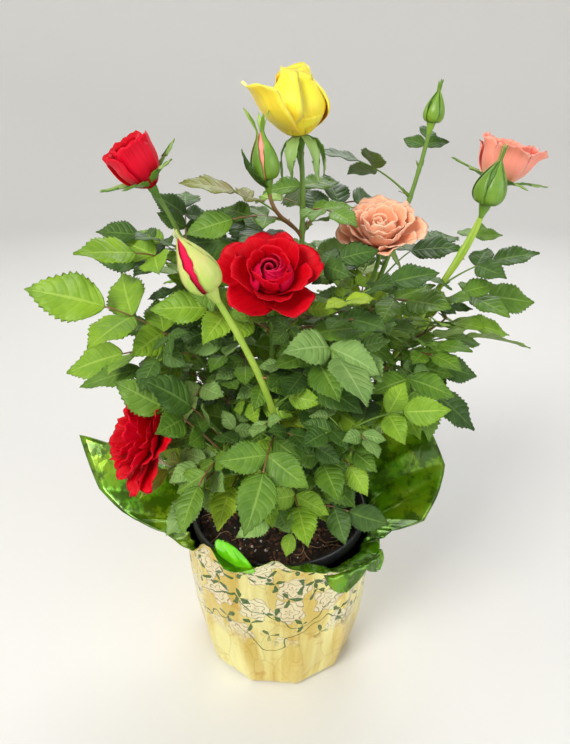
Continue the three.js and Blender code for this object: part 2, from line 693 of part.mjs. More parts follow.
// One leaf: its stalk and the leaflets that have room, or null when its stalk or its last leaflet has none
const STALK_STEPS = 12;
function growLeaf(shoot, at, tip, pairs, roll, arch) {
  const base = shoot.path.point(at);
  const { line, leaflets } = leafletsOf(base, tip, pairs, roll, arch);
  const stalk = pathPoints(line, 0, LEAF.terminalFrom, STALK_STEPS);
  const free = stalk.slice(2);
  const faces = free.slice(1).map((point, i) => [free[i], point, point]);
  const own = (bar) => bar.owner === shoot.name && bar.a.distanceTo(base) < OWN_REACH;
  if (!hasRoom(skinOf(free, faces), own)) return null;
  const kept = [];
  for (const leaflet of leaflets) {
    const skin = leafletSkin(leaflet);
    if (hasRoom(skin, () => false)) kept.push({ leaflet, skin });
    else if (leaflet === leaflets[0]) return null;
  }
  if (kept.length < LEAF.fewest) return null;
  addBars(stalk, RACHIS.radius, shoot.name);
  skins.push(...kept.map(({ skin }) => skin));
  return { line, span: base.distanceTo(tip), roll, leaflets: kept.map(({ leaflet }) => leaflet) };
}

// Leaf solids. The stalk is three-sided, with a corner on top; at a pair of leaflets its two upper faces open
// into them, and its end opens into the last one. A leaflet's blade is a pair of shallow pyramids on its
// outline.
function leafSolid({ line, span, roll, leaflets }) {
  const positions = [];
  const faces = [];
  const put = (point) => positions.push(...point.toArray()) / 3 - 1;
  const face = (...corners) => {
    if (new Set(corners).size === 3) faces.push(...corners);
  };
  const ring = (s) => {
    const { side, normal } = leafFrame(line, s, roll);
    const at = (left, up) => {
      const out = side.clone().multiplyScalar(left).addScaledVector(normal, up);
      return put(line.point(s).addScaledVector(out, RACHIS.radius));
    };
    return { top: at(0, 1), left: at(0.87, -0.5), right: at(-0.87, -0.5) };
  };
  const wall = (a, b, c, d) => {
    face(a, b, c);
    face(a, c, d);
  };
  // A leaflet grows from four corners of the stalk: its own upper left, upper right, lower left and lower
  // right
  const blade = (leaflet, [upperLeft, upperRight, lowerLeft, lowerRight]) => {
    const rib = leafletPoint(leaflet, RIB_AT, 0);
    const top = put(rib.clone().addScaledVector(leaflet.normal, LEAF.thickness / 2));
    const bottom = put(rib.addScaledVector(leaflet.normal, -LEAF.thickness / 2));
    const outline = leafletOutline(leaflet).map(put);
    const upper = [upperRight, upperLeft, ...outline, upperRight];
    const lower = [lowerRight, lowerLeft, ...outline, lowerRight];
    for (let i = 0; i + 1 < upper.length; i += 1) {
      face(top, upper[i + 1], upper[i]);
      face(bottom, lower[i], lower[i + 1]);
    }
    face(upperLeft, outline[0], lowerLeft);
    face(upperRight, lowerRight, outline.at(-1));
  };
  let last = ring(0);
  face(last.top, last.left, last.right);
  for (const pair of [1, 0]) {
    const near = leaflets.filter((leaflet) => leaflet.pair === pair);
    if (!near.length) continue;
    const [before, after] = [-1, 1].map((way) => ring(LEAF.pairsAt[pair] + (way * LEAF.joint) / span));
    wall(last.top, before.top, before.left, last.left);
    wall(last.left, before.left, before.right, last.right);
    wall(last.right, before.right, before.top, last.top);
    wall(before.left, after.left, after.right, before.right);
    const left = near.find((leaflet) => leaflet.hand === 1);
    const right = near.find((leaflet) => leaflet.hand === -1);
    if (left) blade(left, [before.top, after.top, before.left, after.left]);
    else wall(before.top, after.top, after.left, before.left);
    if (right) blade(right, [after.top, before.top, after.right, before.right]);
    else wall(before.right, after.right, after.top, before.top);
    last = after;
  }
  const end = ring(LEAF.terminalFrom);
  wall(last.top, end.top, end.left, last.left);
  wall(last.left, end.left, end.right, last.right);
  wall(last.right, end.right, end.top, last.top);
  blade(leaflets[0], [end.top, end.top, end.left, end.right]);
  const geometry = new THREE.BufferGeometry();
  geometry.setAttribute("position", new THREE.Float32BufferAttribute(positions, 3));
  geometry.setIndex(faces);
  return geometry;
}

// Blooms stand on +Z with the foot of the hip at the origin, and are turned to face their way.
// A petal's midline is two arcs, a long one for the cup and a short one for the lip, and it is curved across.
function arc(s, lean, bend) {
  const angle = lean + bend * s;
  if (Math.abs(bend) < 1e-5) return { out: s * Math.sin(lean), up: s * Math.cos(lean), angle };
  const out = (Math.cos(lean) - Math.cos(angle)) / bend;
  const up = (Math.sin(angle) - Math.sin(lean)) / bend;
  return { out, up, angle };
}

const LIP_FROM = 0.68;
function petalMidline({ height, radius, length, lean, open, lip }, s) {
  const cupLength = LIP_FROM * length;
  let spot = arc(Math.min(s, cupLength), radians(lean), radians(open - lean) / cupLength);
  if (s > cupLength) {
    const edge = arc(s - cupLength, spot.angle, radians(lip) / (length - cupLength));
    spot = { out: spot.out + edge.out, up: spot.up + edge.up, angle: edge.angle };
  }
  return { out: radius + spot.out, up: height + spot.up, angle: spot.angle };
}

function petalPoint(petal, u, v) {
  const { azimuth, length, width, cup } = petal;
  const spot = petalMidline(petal, v * (1 - 0.24 * u * u) * length);
  const spread = 0.3 + 0.7 * Math.sin((Math.PI / 2) * Math.min(1, v / 0.62));
  const across = 0.5 * u * width * spread;
  const inward = cup * (1 - Math.cos(across / cup));
  return compass(azimuth)
    .multiplyScalar(spot.out - inward * Math.cos(spot.angle))
    .addScaledVector(compass(azimuth + 90), cup * Math.sin(across / cup))
    .addScaledVector(UP, spot.up + inward * Math.sin(spot.angle));
}

// Each bloom: its colour, the radius and length of its hip, the radius and top of its closed heart, how many
// petals a whorl has, its whorls from the outside in, and its sepals. Each whorl stands between the petals of
// the one before. A petal's `lean` is its angle from upright where it starts, `open` that at the end of its
// cup, and `lip` how far its edge turns out from there. Loose petals have an azimuth of their own.
const BLOOMS = {
  yellow: {
    colour: "yellow", hip: [3.3, 7], heart: [15, 41], count: 5, turn: 60, whorls: [],
    loose: [
      { azimuth: 186, height: 8, radius: 2.5, length: 40, width: 25, lean: 76, open: 16, lip: 50, cup: 16 },
      { azimuth: 318, height: 8, radius: 5, length: 40, width: 26, lean: 84, open: -14, lip: 4, cup: 15 },
      { azimuth: 70, height: 8, radius: 5, length: 40, width: 26, lean: 84, open: -14, lip: 4, cup: 15 },
    ],
    sepal: { height: 7, radius: 2.4, length: 25, width: 6.5, lean: 115, open: 178, lip: 0 },
  },
  redHalf: {
    colour: "red", hip: [2.8, 6], heart: [8, 24], count: 5, turn: 0, loose: [],
    whorls: [
      { height: 6, radius: 2.5, length: 27, width: 19, lean: 58, open: 2, lip: 26, cup: 12 },
      { height: 7, radius: 2.2, length: 24, width: 15, lean: 46, open: -8, lip: 8, cup: 10 },
    ],
    sepal: { height: 6, radius: 2.2, length: 20, width: 5.5, lean: 55, open: 70, lip: 0 },
  },
  pink: {
    colour: "pink", hip: [3.6, 8], heart: [7.5, 29], count: 5, turn: 36, loose: [],
    whorls: [
      { height: 8, radius: 3, length: 29, width: 21, lean: 64, open: 8, lip: 62, cup: 13 },
      { height: 9, radius: 2.5, length: 25, width: 17, lean: 50, open: -6, lip: 30, cup: 11 },
    ],
    sepal: { height: 8, radius: 3, length: 22, width: 5.5, lean: 66, open: 84, lip: 0 },
  },
  coral: {
    colour: "coral", hip: [3.2, 7], heart: [6.5, 23], count: 5, turn: 54, loose: [],
    whorls: [
      { height: 7, radius: 3, length: 27, width: 25, lean: 92, open: 50, lip: 34, cup: 17 },
      { height: 7.5, radius: 3, length: 24, width: 21, lean: 76, open: 28, lip: 26, cup: 14 },
      { height: 8, radius: 2, length: 20, width: 17, lean: 56, open: 6, lip: 16, cup: 11 },
    ],
    sepal: { height: 7, radius: 2.6, length: 18, width: 5, lean: 105, open: 135, lip: 0 },
  },
  redOpen: {
    colour: "red", hip: [3.2, 7], heart: [7, 23], count: 5, turn: 18, loose: [],
    whorls: [
      { height: 7, radius: 3, length: 29, width: 27, lean: 92, open: 56, lip: 28, cup: 20 },
      { height: 7.5, radius: 3, length: 25, width: 23, lean: 78, open: 30, lip: 22, cup: 15 },
      { height: 8, radius: 2, length: 21, width: 19, lean: 62, open: 2, lip: 12, cup: 11 },
    ],
    sepal: { height: 7, radius: 2.6, length: 17, width: 5, lean: 105, open: 125, lip: 0 },
  },
  redBlown: {
    colour: "red", hip: [3.4, 8], heart: [6, 21], count: 7, turn: 10, loose: [],
    whorls: [
      { height: 8, radius: 3, length: 29, width: 19, lean: 96, open: 80, lip: 20, cup: 18 },
      { height: 8.5, radius: 3, length: 26, width: 15, lean: 80, open: 52, lip: 22, cup: 13 },
      { height: 9, radius: 2, length: 21, width: 12, lean: 54, open: 16, lip: 18, cup: 9 },
    ],
    sepal: { height: 8, radius: 3, length: 19, width: 6, lean: 70, open: 150, lip: 0 },
  },
  pinkBud: {
    colour: "bud", hip: [3.2, 7], heart: [4.6, 24], count: 5, turn: 0, loose: [],
    whorls: [
      { height: 6, radius: 2, length: 27, width: 8, lean: 36, open: -10, lip: 8, cup: 7, pointed: true },
    ],
  },
  tallBud: {
    colour: "bud", hip: [2.6, 6], heart: [3.9, 17], count: 5, turn: 0, loose: [],
    whorls: [
      { height: 5, radius: 1.8, length: 22, width: 7, lean: 34, open: -12, lip: 4, cup: 6, pointed: true },
    ],
  },
  greenBud: {
    colour: "bud", hip: [3.4, 7], heart: [5.6, 23], count: 5, turn: 40, loose: [],
    whorls: [
      { height: 6, radius: 2.4, length: 27, width: 9, lean: 42, open: -16, lip: 4, cup: 7, pointed: true },
    ],
  },
  splitBud: {
    colour: "bud", hip: [3.6, 7], heart: [5.6, 24], count: 5, turn: 10, loose: [],
    whorls: [
      { height: 6, radius: 2.4, length: 25, width: 10, lean: 40, open: -14, lip: 0, cup: 8, pointed: true },
    ],
  },
};

const SEPALS = 5;
// The petals of a bloom's whorls, its loose petals, and its sepals, which narrow to a point
function bloomPetals(bloom) {
  const apart = 360 / bloom.count;
  const ring = (petal, start) =>
    Array.from({ length: bloom.count }, (unused, i) => ({ ...petal, azimuth: start + i * apart }));
  const petals = bloom.whorls.flatMap((whorl, k) => ring(whorl, bloom.turn + (k * 180) / bloom.count));
  const sepals = Array.from({ length: bloom.sepal ? SEPALS : 0 }, (unused, i) => {
    const azimuth = bloom.turn + ((i + 0.5) * 360) / SEPALS;
    return { ...bloom.sepal, cup: bloom.sepal.width, pointed: true, azimuth };
  });
  return { petals, loose: bloom.loose, sepals };
}

function taperedPoint(petal, u, v) {
  const taper = petal.pointed ? 1 - 0.9 * v * v : 1;
  return petalPoint({ ...petal, width: petal.width * taper }, u, v);
}

// A bloom's body in one piece: the hip, the outside of each whorl, its scalloped rim, the fold behind it, and
// the closed heart. At a petal's middle the rim is the petal's tip, and between two petals it is lower and
// further in.
const BETWEEN = { reach: 0.9, petal: 0.88, sepal: 0.5 };
function bloomBody({ hip: [hipRadius, hipLength], heart: [radius, top], count, turn, whorls }) {
  const rows = [
    () => [0, -1],
    () => [1.1, 0],
    () => [hipRadius, hipLength * 0.5],
  ];
  whorls.forEach((whorl, k) => {
    const spot = (angle, share, inward) => {
      const petalTurns = ((angle - turn) * count) / 360 - k / 2;
      const between = Math.abs(petalTurns - Math.round(petalTurns)) > 0.25;
      const along = share * (between ? BETWEEN[whorl.pointed ? "sepal" : "petal"] : 1);
      const { out, up } = petalMidline(whorl, along * whorl.length);
      return [(out - inward) * (between ? BETWEEN.reach : 1), up];
    };
    if (k === 0) rows.push((angle) => spot(angle, 0.5, 0));
    rows.push((angle) => spot(angle, 1, 0));
    rows.push((angle) => spot(angle, 0.56, 2.2));
  });
  const tall = top - hipLength;
  if (!whorls.length) {
    rows.push(() => [hipRadius * 0.8, hipLength]);
    rows.push(() => [radius * 0.8, hipLength + tall * 0.16]);
    rows.push(() => [radius, hipLength + tall * 0.4]);
  }
  rows.push(() => [radius * 0.8, hipLength + tall * 0.7]);
  rows.push(() => [radius * 0.35, hipLength + tall * 0.95]);
  rows.push(() => [0, top]);
  return turnedBy(rows, 2 * Math.max(count, 4), turn);
}

const PETAL_THICKNESS = 1.3;
const SEPAL_THICKNESS = 0.9;

// A sepal is a bent kite, thickest in the middle
function kite(place, thickness) {
  const geometry = new THREE.SphereGeometry(1, 4, 2);
  const middle = place(0, 0.4);
  const across = place(0.2, 0.4).sub(place(-0.2, 0.4));
  const lift = place(0, 0.6).sub(place(0, 0.2)).cross(across).setLength(thickness / 2);
  const position = geometry.attributes.position;
  for (let i = 0; i < position.count; i += 1) {
    const [x, y, z] = new THREE.Vector3().fromBufferAttribute(position, i).round().toArray();
    const point = y ? middle.clone().addScaledVector(lift, y) : place(z, z ? 0.4 : 0.5 - 0.5 * x);
    position.setXYZ(i, point.x, point.y, point.z);
  }
  return geometry;
}

function bloomPlace(shoot) {
  const turn = new THREE.Quaternion().setFromUnitVectors(UP, shoot.face);
  return new THREE.Matrix4().compose(shoot.tipPoint, turn, new THREE.Vector3(1, 1, 1));
}

function bloomSolids(shoot) {
  const bloom = BLOOMS[shoot.bloom];
  const { loose, sepals } = bloomPetals(bloom);
  const parts = [bloomBody(bloom)];
  for (const petal of loose) parts.push(sheet(2, 3, (u, v) => taperedPoint(petal, u, v), PETAL_THICKNESS));
  for (const sepal of sepals) parts.push(kite((u, v) => taperedPoint(sepal, u, v), SEPAL_THICKNESS));
  return parts.map((part) => part.applyMatrix4(bloomPlace(shoot)));
}

// Limbs and blooms are set down first, then the placed leaves, and then the leaves of the rule
for (const shoot of shoots.values()) {
  addBars(pathPoints(shoot.path, shoot.start, 1, PATH_STEPS), shoot.radiusAt(0), shoot.name);
  if (!shoot.bloom) continue;
  const { hip, heart } = BLOOMS[shoot.bloom];
  const place = bloomPlace(shoot);
  const middle = new THREE.Vector3(0, 0, (hip[1] + heart[1]) / 2).applyMatrix4(place);
  bars.push({ a: middle, b: middle, radius: Math.max(heart[0], (heart[1] - hip[1]) / 2), owner: "bloom" });
  for (const petal of Object.values(bloomPetals(BLOOMS[shoot.bloom])).flat()) {
    skins.push(petalSkin((u, v) => taperedPoint(petal, u, v).applyMatrix4(place)));
  }
}
const grown = new Map([...shoots.keys()].map((name) => [name, []]));
for (const { shoot: name, at, tip, pairs, roll } of PLACED_LEAVES) {
  const leaf = growLeaf(shoots.get(name), at, vector(tip), pairs, roll, LEAF.arch);
  if (leaf) grown.get(name).push(leaf);
}
const TRIES = 6;
[...shoots.values()].forEach((shoot, seed) => {
  const { count, from, to, phase, size } = shoot.leaves;
  for (let i = 0; i < count; i += 1) {
    const at = from + ((to - from) * i) / Math.max(1, count - 1);
    for (let attempt = 0; attempt < TRIES; attempt += 1) {
      const heading = phase + TURN * i + 47 * attempt;
      const droop = LEAF.droop * (1 - at);
      const climb = radians(LEAF.climb * (2 * chance(seed + 1, i * 7 + attempt) - 1) - droop);
      const length = size * (0.86 + 0.3 * chance(seed + 31, i * 7 + attempt)) * (1 - 0.06 * attempt);
      const roll = LEAF.roll * (2 * chance(seed + 61, i * 7 + attempt) - 1);
      const way = compass(heading).multiplyScalar(Math.cos(climb)).setZ(Math.sin(climb));
      const tip = shoot.path.point(at).addScaledVector(way, length);
      const pairs = chance(seed + 91, i) > 0.45 ? 2 : 1;
      const leaf = growLeaf(shoot, at, tip, pairs, roll, LEAF.arch);
      if (leaf) {
        grown.get(shoot.name).push(leaf);
        break;
      }
    }
  }
});

// The assembly
const roseBush = new THREE.Group();
roseBush.name = "rose_bush";

function add(name, geometry, colour, roughness = 0.6, metalness = 0) {
  const material = new THREE.MeshStandardMaterial({ color: COLOUR[colour], roughness, metalness });
  const mesh = new THREE.Mesh(geometry, material);
  mesh.name = name;
  roseBush.add(mesh);
}

add("foil_cover", foilCover(), "foil", 0.3, 0.8);
add("nursery_pot", nurseryPot(), "pot", 0.45);
add("potting_soil", pottingSoil(), "soil", 0.95);
for (const shoot of shoots.values()) {
  const { name, path, radiusAt, bare, neck, bloom } = shoot;
  const gap = (0.5 * GAP) / path.length;
  let from = shoot.start;
  if (shoot.foot) {
    const flared = (t) => radiusAt(t) * (1 + (CANE.flare - 1) * Math.max(0, 1 - t / 0.06));
    add(`cane_${name}`, limb(path, 0, bare - gap, flared, CANE.sides, CANE.segments), "cane");
    from = bare + gap;
  }
  // A flower in colour is a piece of its own, on the end of its stalk
  const to = neck ? neck - gap : 1;
  const stem = limb(path, from, to, radiusAt, STALK.sides, STALK.segments);
  const leafy = [stem, ...grown.get(name).map(leafSolid)];
  if (neck) {
    const stalk = limb(path, neck + gap, 1, radiusAt, STALK.sides, FLOWER_STALK_SEGMENTS);
    add(`flower_${name}`, geometryOf(joined([stalk, ...bloomSolids(shoot)])), BLOOMS[bloom].colour);
  } else if (bloom) {
    leafy.push(...bloomSolids(shoot));
  }
  const colour = bloom && !neck ? BLOOMS[bloom].colour : "leaf";
  add(bloom ? `spray_${name}` : name, geometryOf(joined(leafy)), colour);
}

export default roseBush;
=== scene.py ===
"""The looks of a potted miniature rose bush in flower: canes, leaves, roses and buds, and the pot in its foil.

Lengths are in millimetres, as in the plant's solids, and become metres when a mesh is made. Shoots, leaves
and blooms grow by the same rule as the solids, so that each stands where its solid does. Smaller leaves are
then grown into the room that is left between them.
"""

import json
import math

import bpy
import numpy as np
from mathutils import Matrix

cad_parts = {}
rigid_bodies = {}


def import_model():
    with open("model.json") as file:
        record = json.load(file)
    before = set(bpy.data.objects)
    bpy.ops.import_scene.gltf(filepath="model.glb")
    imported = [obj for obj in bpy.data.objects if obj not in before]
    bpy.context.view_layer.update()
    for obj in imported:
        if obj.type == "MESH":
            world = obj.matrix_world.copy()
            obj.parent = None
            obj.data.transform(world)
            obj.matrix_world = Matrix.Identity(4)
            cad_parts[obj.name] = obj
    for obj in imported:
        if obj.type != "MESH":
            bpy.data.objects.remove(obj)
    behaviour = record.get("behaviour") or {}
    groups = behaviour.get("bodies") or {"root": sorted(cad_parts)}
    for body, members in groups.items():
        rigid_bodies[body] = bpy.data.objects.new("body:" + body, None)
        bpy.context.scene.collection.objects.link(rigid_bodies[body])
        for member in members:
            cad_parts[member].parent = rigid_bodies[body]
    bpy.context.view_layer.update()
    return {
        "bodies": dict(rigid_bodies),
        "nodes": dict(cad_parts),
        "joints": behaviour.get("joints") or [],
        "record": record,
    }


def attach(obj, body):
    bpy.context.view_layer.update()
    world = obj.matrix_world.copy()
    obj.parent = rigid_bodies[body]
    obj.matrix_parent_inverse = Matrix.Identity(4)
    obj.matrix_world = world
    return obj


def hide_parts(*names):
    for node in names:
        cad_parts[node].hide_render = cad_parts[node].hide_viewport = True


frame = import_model()

MM = 0.001
UP = np.array([0.0, 0.0, 1.0])

# Camera: its place in metres, its pitch below level in degrees, and its lens for a 36 mm sensor
CAMERA = dict(place=(0.0045, -0.324, 0.385), pitch=26, lens=27.24)


def set_camera():
    """Makes the camera, which looks along +Y and down by its pitch."""
    camera = bpy.data.objects.new("camera", bpy.data.cameras.new("camera"))
    camera.data.lens = CAMERA["lens"]
    camera.data.sensor_width = 36
    camera.location = CAMERA["place"]
    camera.rotation_euler = (math.radians(90 - CAMERA["pitch"]), 0, 0)
    bpy.context.scene.collection.objects.link(camera)
    bpy.context.scene.camera = camera


set_camera()

# The solids' own sizes, which the finer shapes keep to
GAP = 0.3
FOIL = dict(base_radius=50, corner_radius=55.5, belly_radius=57, belly_height=8, rim_radius=66.5,
            rim_height=114, skirt_rows=4)
POT = dict(lip_radius=62, height=123)
SOIL_LEVEL = 112
CANE = dict(foot_radius=2.3, flare=1.35)
RACHIS_RADIUS = 0.75
LEAF = dict(terminal_from=0.54, pairs_at=(0.38, 0.2), pair_share=(0.86, 0.66), pair_angle=(62, 68), width=0.66,
            fold=0.2, bend=0.14, rise=0.14, fewest=3, climb=24, droop=20, roll=34)
CLEAR = dict(leaf=2.6, limb=1.9, foil=4.2, soil=3.0)
LOW = 200  # what is higher has nothing to do with the pot
OWN_REACH = 30  # how far from its base a stalk may touch its own shoot
TURN = 144  # degrees from one leaf up a shoot to the next
TRIES = 6

# The foil skirt's edge all round, from +X by way of +Y: its compass angle, radius and height
SKIRT_EDGE = [
    [0, 114, 132], [9, 124, 142], [27, 116, 178], [45, 107, 156], [63, 100, 149], [72, 104, 160],
    [90, 98, 149], [117, 108, 161], [135, 101, 148], [153, 106, 141], [162, 122, 141], [171, 147, 163],
    [180, 128, 134], [189, 101, 120], [198, 82, 118], [216, 72, 118], [234, 69, 125], [252, 69, 120],
    [279, 70, 126], [297, 74, 119], [324, 81, 120], [333, 76, 120], [342, 82, 119], [351, 103, 120],
]
# Shoots: foot, or parent and share of its length, tip and facing there, curve, radii, how much of it is bare,
# bloom, and leaves (count, first, last, phase, size). The leafy ones share their curve and their top's radius
LEAFY = dict(rise=0.3, reach=0.3, top=0.8)
SHOOTS = [
    dict(name="yellow_rose", foot=[5, 8], tip=[13, 4, 360], face=[-0.1, -0.05, 1], rise=0.4, reach=0.25,
         top=1.35, bare=0.2, bloom="yellow", leaves=(9, 0.3, 0.9, 20, 82)),
    dict(name="red_half_open_rose", foot=[-13, 3], tip=[-65, -6, 337], face=[-0.45, -0.18, 0.88], rise=0.3,
         reach=0.22, top=1.2, bare=0.22, bloom="redHalf", leaves=(8, 0.32, 0.86, 75, 74)),
    dict(name="tall_bud", foot=[15, 13], tip=[88, 30, 367], face=[0.14, 0, 1], rise=0.22, reach=0.3, top=1.15,
         bare=0.2, bloom="tallBud", leaves=(7, 0.3, 0.72, 40, 74)),
    dict(name="pink_rose", foot=[16, -3], tip=[126, 22, 331], face=[0.28, 0.02, 1], rise=0.12, reach=0.2,
         top=1.45, bare=0.24, bloom="pink", leaves=(5, 0.44, 0.7, 150, 74)),
    dict(name="coral_rose", foot=[7, 16], tip=[62, 16, 302], face=[-0.12, -0.42, 0.9], rise=0.3, reach=0.18,
         top=1.3, bare=0.24, bloom="coral", leaves=(7, 0.32, 0.86, 200, 74)),
    dict(name="red_open_rose", foot=[-2, -7], tip=[-3, -30, 290], face=[0.02, -0.6, 0.8], rise=0.35,
         reach=0.14, top=1.4, bare=0.24, bloom="redOpen", leaves=(8, 0.3, 0.84, 265, 71)),
    dict(name="split_bud", foot=[3, -17], tip=[-26, -84, 304], face=[-0.42, -0.2, 0.88], rise=0.3, reach=0.4,
         top=1.5, bare=0.26, bloom="splitBud", leaves=(4, 0.34, 0.62, 330, 69)),
    dict(name="blown_red_rose", foot=[-15, -10], tip=[-65, -43, 203], face=[-0.84, -0.3, 0.42], rise=0.4,
         reach=0.3, top=1.5, bare=0.4, bloom="redBlown", leaves=(3, 0.5, 0.75, 230, 63)),
    dict(name="pink_bud", parent="yellow_rose", at=0.8, tip=[-4, -12, 340], face=[-0.14, -0.06, 1], rise=0.35,
         reach=0.45, base=1.1, top=1.1, bloom="pinkBud", leaves=(1, 0.45, 0.45, 200, 53)),
    dict(name="green_bud", parent="pink_rose", at=0.72, tip=[114, -4, 326], face=[0.16, -0.08, 1], rise=0.3,
         reach=0.4, base=1.3, top=1.3, bloom="greenBud", leaves=(0, 0, 0, 0, 0)),
    dict(LEAFY, name="foliage_left", parent="red_half_open_rose", at=0.3, tip=[-62, -22, 262],
         face=[-0.7, -0.1, 0.6], base=1.2, leaves=(8, 0.2, 1, 180, 79)),
    dict(LEAFY, name="foliage_left_back", parent="red_half_open_rose", at=0.22, tip=[-62, 44, 214],
         face=[-0.6, 0.4, 0.6], base=1.2, leaves=(8, 0.25, 1, 110, 77)),
    dict(LEAFY, name="foliage_back_left", parent="yellow_rose", at=0.24, tip=[-28, 62, 262],
         face=[-0.2, 0.3, 0.8], base=1.3, leaves=(9, 0.22, 1, 60, 79)),
    dict(LEAFY, name="foliage_back", parent="coral_rose", at=0.26, tip=[20, 66, 250], face=[0.1, 0.4, 0.8],
         base=1.3, leaves=(9, 0.22, 1, 100, 79)),
    dict(LEAFY, name="foliage_back_right", parent="tall_bud", at=0.24, tip=[62, 60, 248], face=[0.4, 0.4, 0.8],
         base=1.2, leaves=(8, 0.25, 1, 30, 77)),
    dict(LEAFY, name="foliage_right", parent="pink_rose", at=0.3, tip=[78, -16, 252], face=[0.5, -0.2, 0.8],
         base=1.2, leaves=(7, 0.4, 1, 330, 71)),
    dict(LEAFY, name="foliage_front_right", parent="red_open_rose", at=0.3, tip=[42, -60, 222],
         face=[0.3, -0.4, 0.7], base=1.2, leaves=(8, 0.25, 1, 310, 60)),
    dict(LEAFY, name="foliage_front", parent="split_bud", at=0.3, tip=[14, -62, 166], face=[0.1, -0.8, 0.2],
         base=1.1, leaves=(5, 0.3, 1, 280, 63)),
    dict(LEAFY, name="foliage_front_left", parent="red_open_rose", at=0.24, tip=[-34, -62, 208],
         face=[-0.3, -0.5, 0.5], base=1.2, leaves=(8, 0.25, 1, 230, 71)),
    dict(LEAFY, name="foliage_low_left", parent="blown_red_rose", at=0.4, tip=[-66, 2, 168],
         face=[-0.8, 0.1, 0.2], base=1.1, leaves=(6, 0.3, 1, 170, 66)),
    dict(LEAFY, name="foliage_crown", parent="red_open_rose", at=0.62, tip=[34, -34, 286],
         face=[0.3, -0.3, 0.7], base=1.1, leaves=(6, 0.3, 1, 0, 71)),
]
# Leaves that stand where the eye falls: shoot, share of its length, tip, pairs of leaflets, roll and tint.
# A dark tint here is partly painted shade, and a grey one partly painted light
PLACED_LEAVES = [
    ("foliage_left", 0.78, [-137, -30, 283], 2, -20, "fresh"),
    ("foliage_left", 0.6, [-112, -42, 232], 1, 15, "mid"),
    ("red_half_open_rose", 0.84, [-100, -10, 313], 2, 10, "dark"),
    ("red_half_open_rose", 0.78, [-104, -6, 296], 1, -15, "dark"),
    ("pink_bud", 0.34, [-48, -24, 341], 1, 0, "bronze"),
    ("yellow_rose", 0.86, [42, -30, 322], 2, 10, "mid"),
    ("yellow_rose", 0.76, [-46, 2, 318], 2, -10, "dark"),
    ("foliage_front_left", 0.9, [-84, -62, 243], 2, 0, "mid"),
    ("foliage_front_left", 0.75, [-62, -74, 252], 2, 10, "dark"),
    ("foliage_front", 0.9, [-20, -92, 170], 2, 0, "grey"),
    ("foliage_front", 1, [4, -76, 139], 1, 0, "fresh"),
    ("pink_rose", 0.56, [145, -26, 252], 2, -30, "mid"),
    ("pink_rose", 0.5, [133, 8, 214], 1, 0, "dark"),
    ("pink_rose", 0.68, [124, 14, 262], 1, 0, "dark"),
    ("pink_rose", 0.76, [156, 10, 296], 1, 10, "dark"),
    ("pink_rose", 0.86, [141, 52, 304], 1, 0, "mid"),
    ("tall_bud", 0.86, [22, 34, 352], 1, 30, "dark"),
    ("tall_bud", 0.92, [96, 62, 366], 1, 0, "dark"),
    ("foliage_right", 0.9, [100, -52, 250], 2, 0, "mid"),
    ("foliage_crown", 0.9, [44, -66, 292], 1, 0, "bright"),
]
# A petal's sizes in the order of its rows: how high and how far out it stands on the hip, its length and
# width, how far it leans and opens from upright and how far its lip bends on, in degrees, and the radius that
# it is curved to across
PETAL_SIZES = ("height", "radius", "length", "width", "lean", "open", "lip", "cup")


def petal_row(*sizes, **more):
    """A petal's sizes by name."""
    return dict(zip(PETAL_SIZES, sizes), **more)


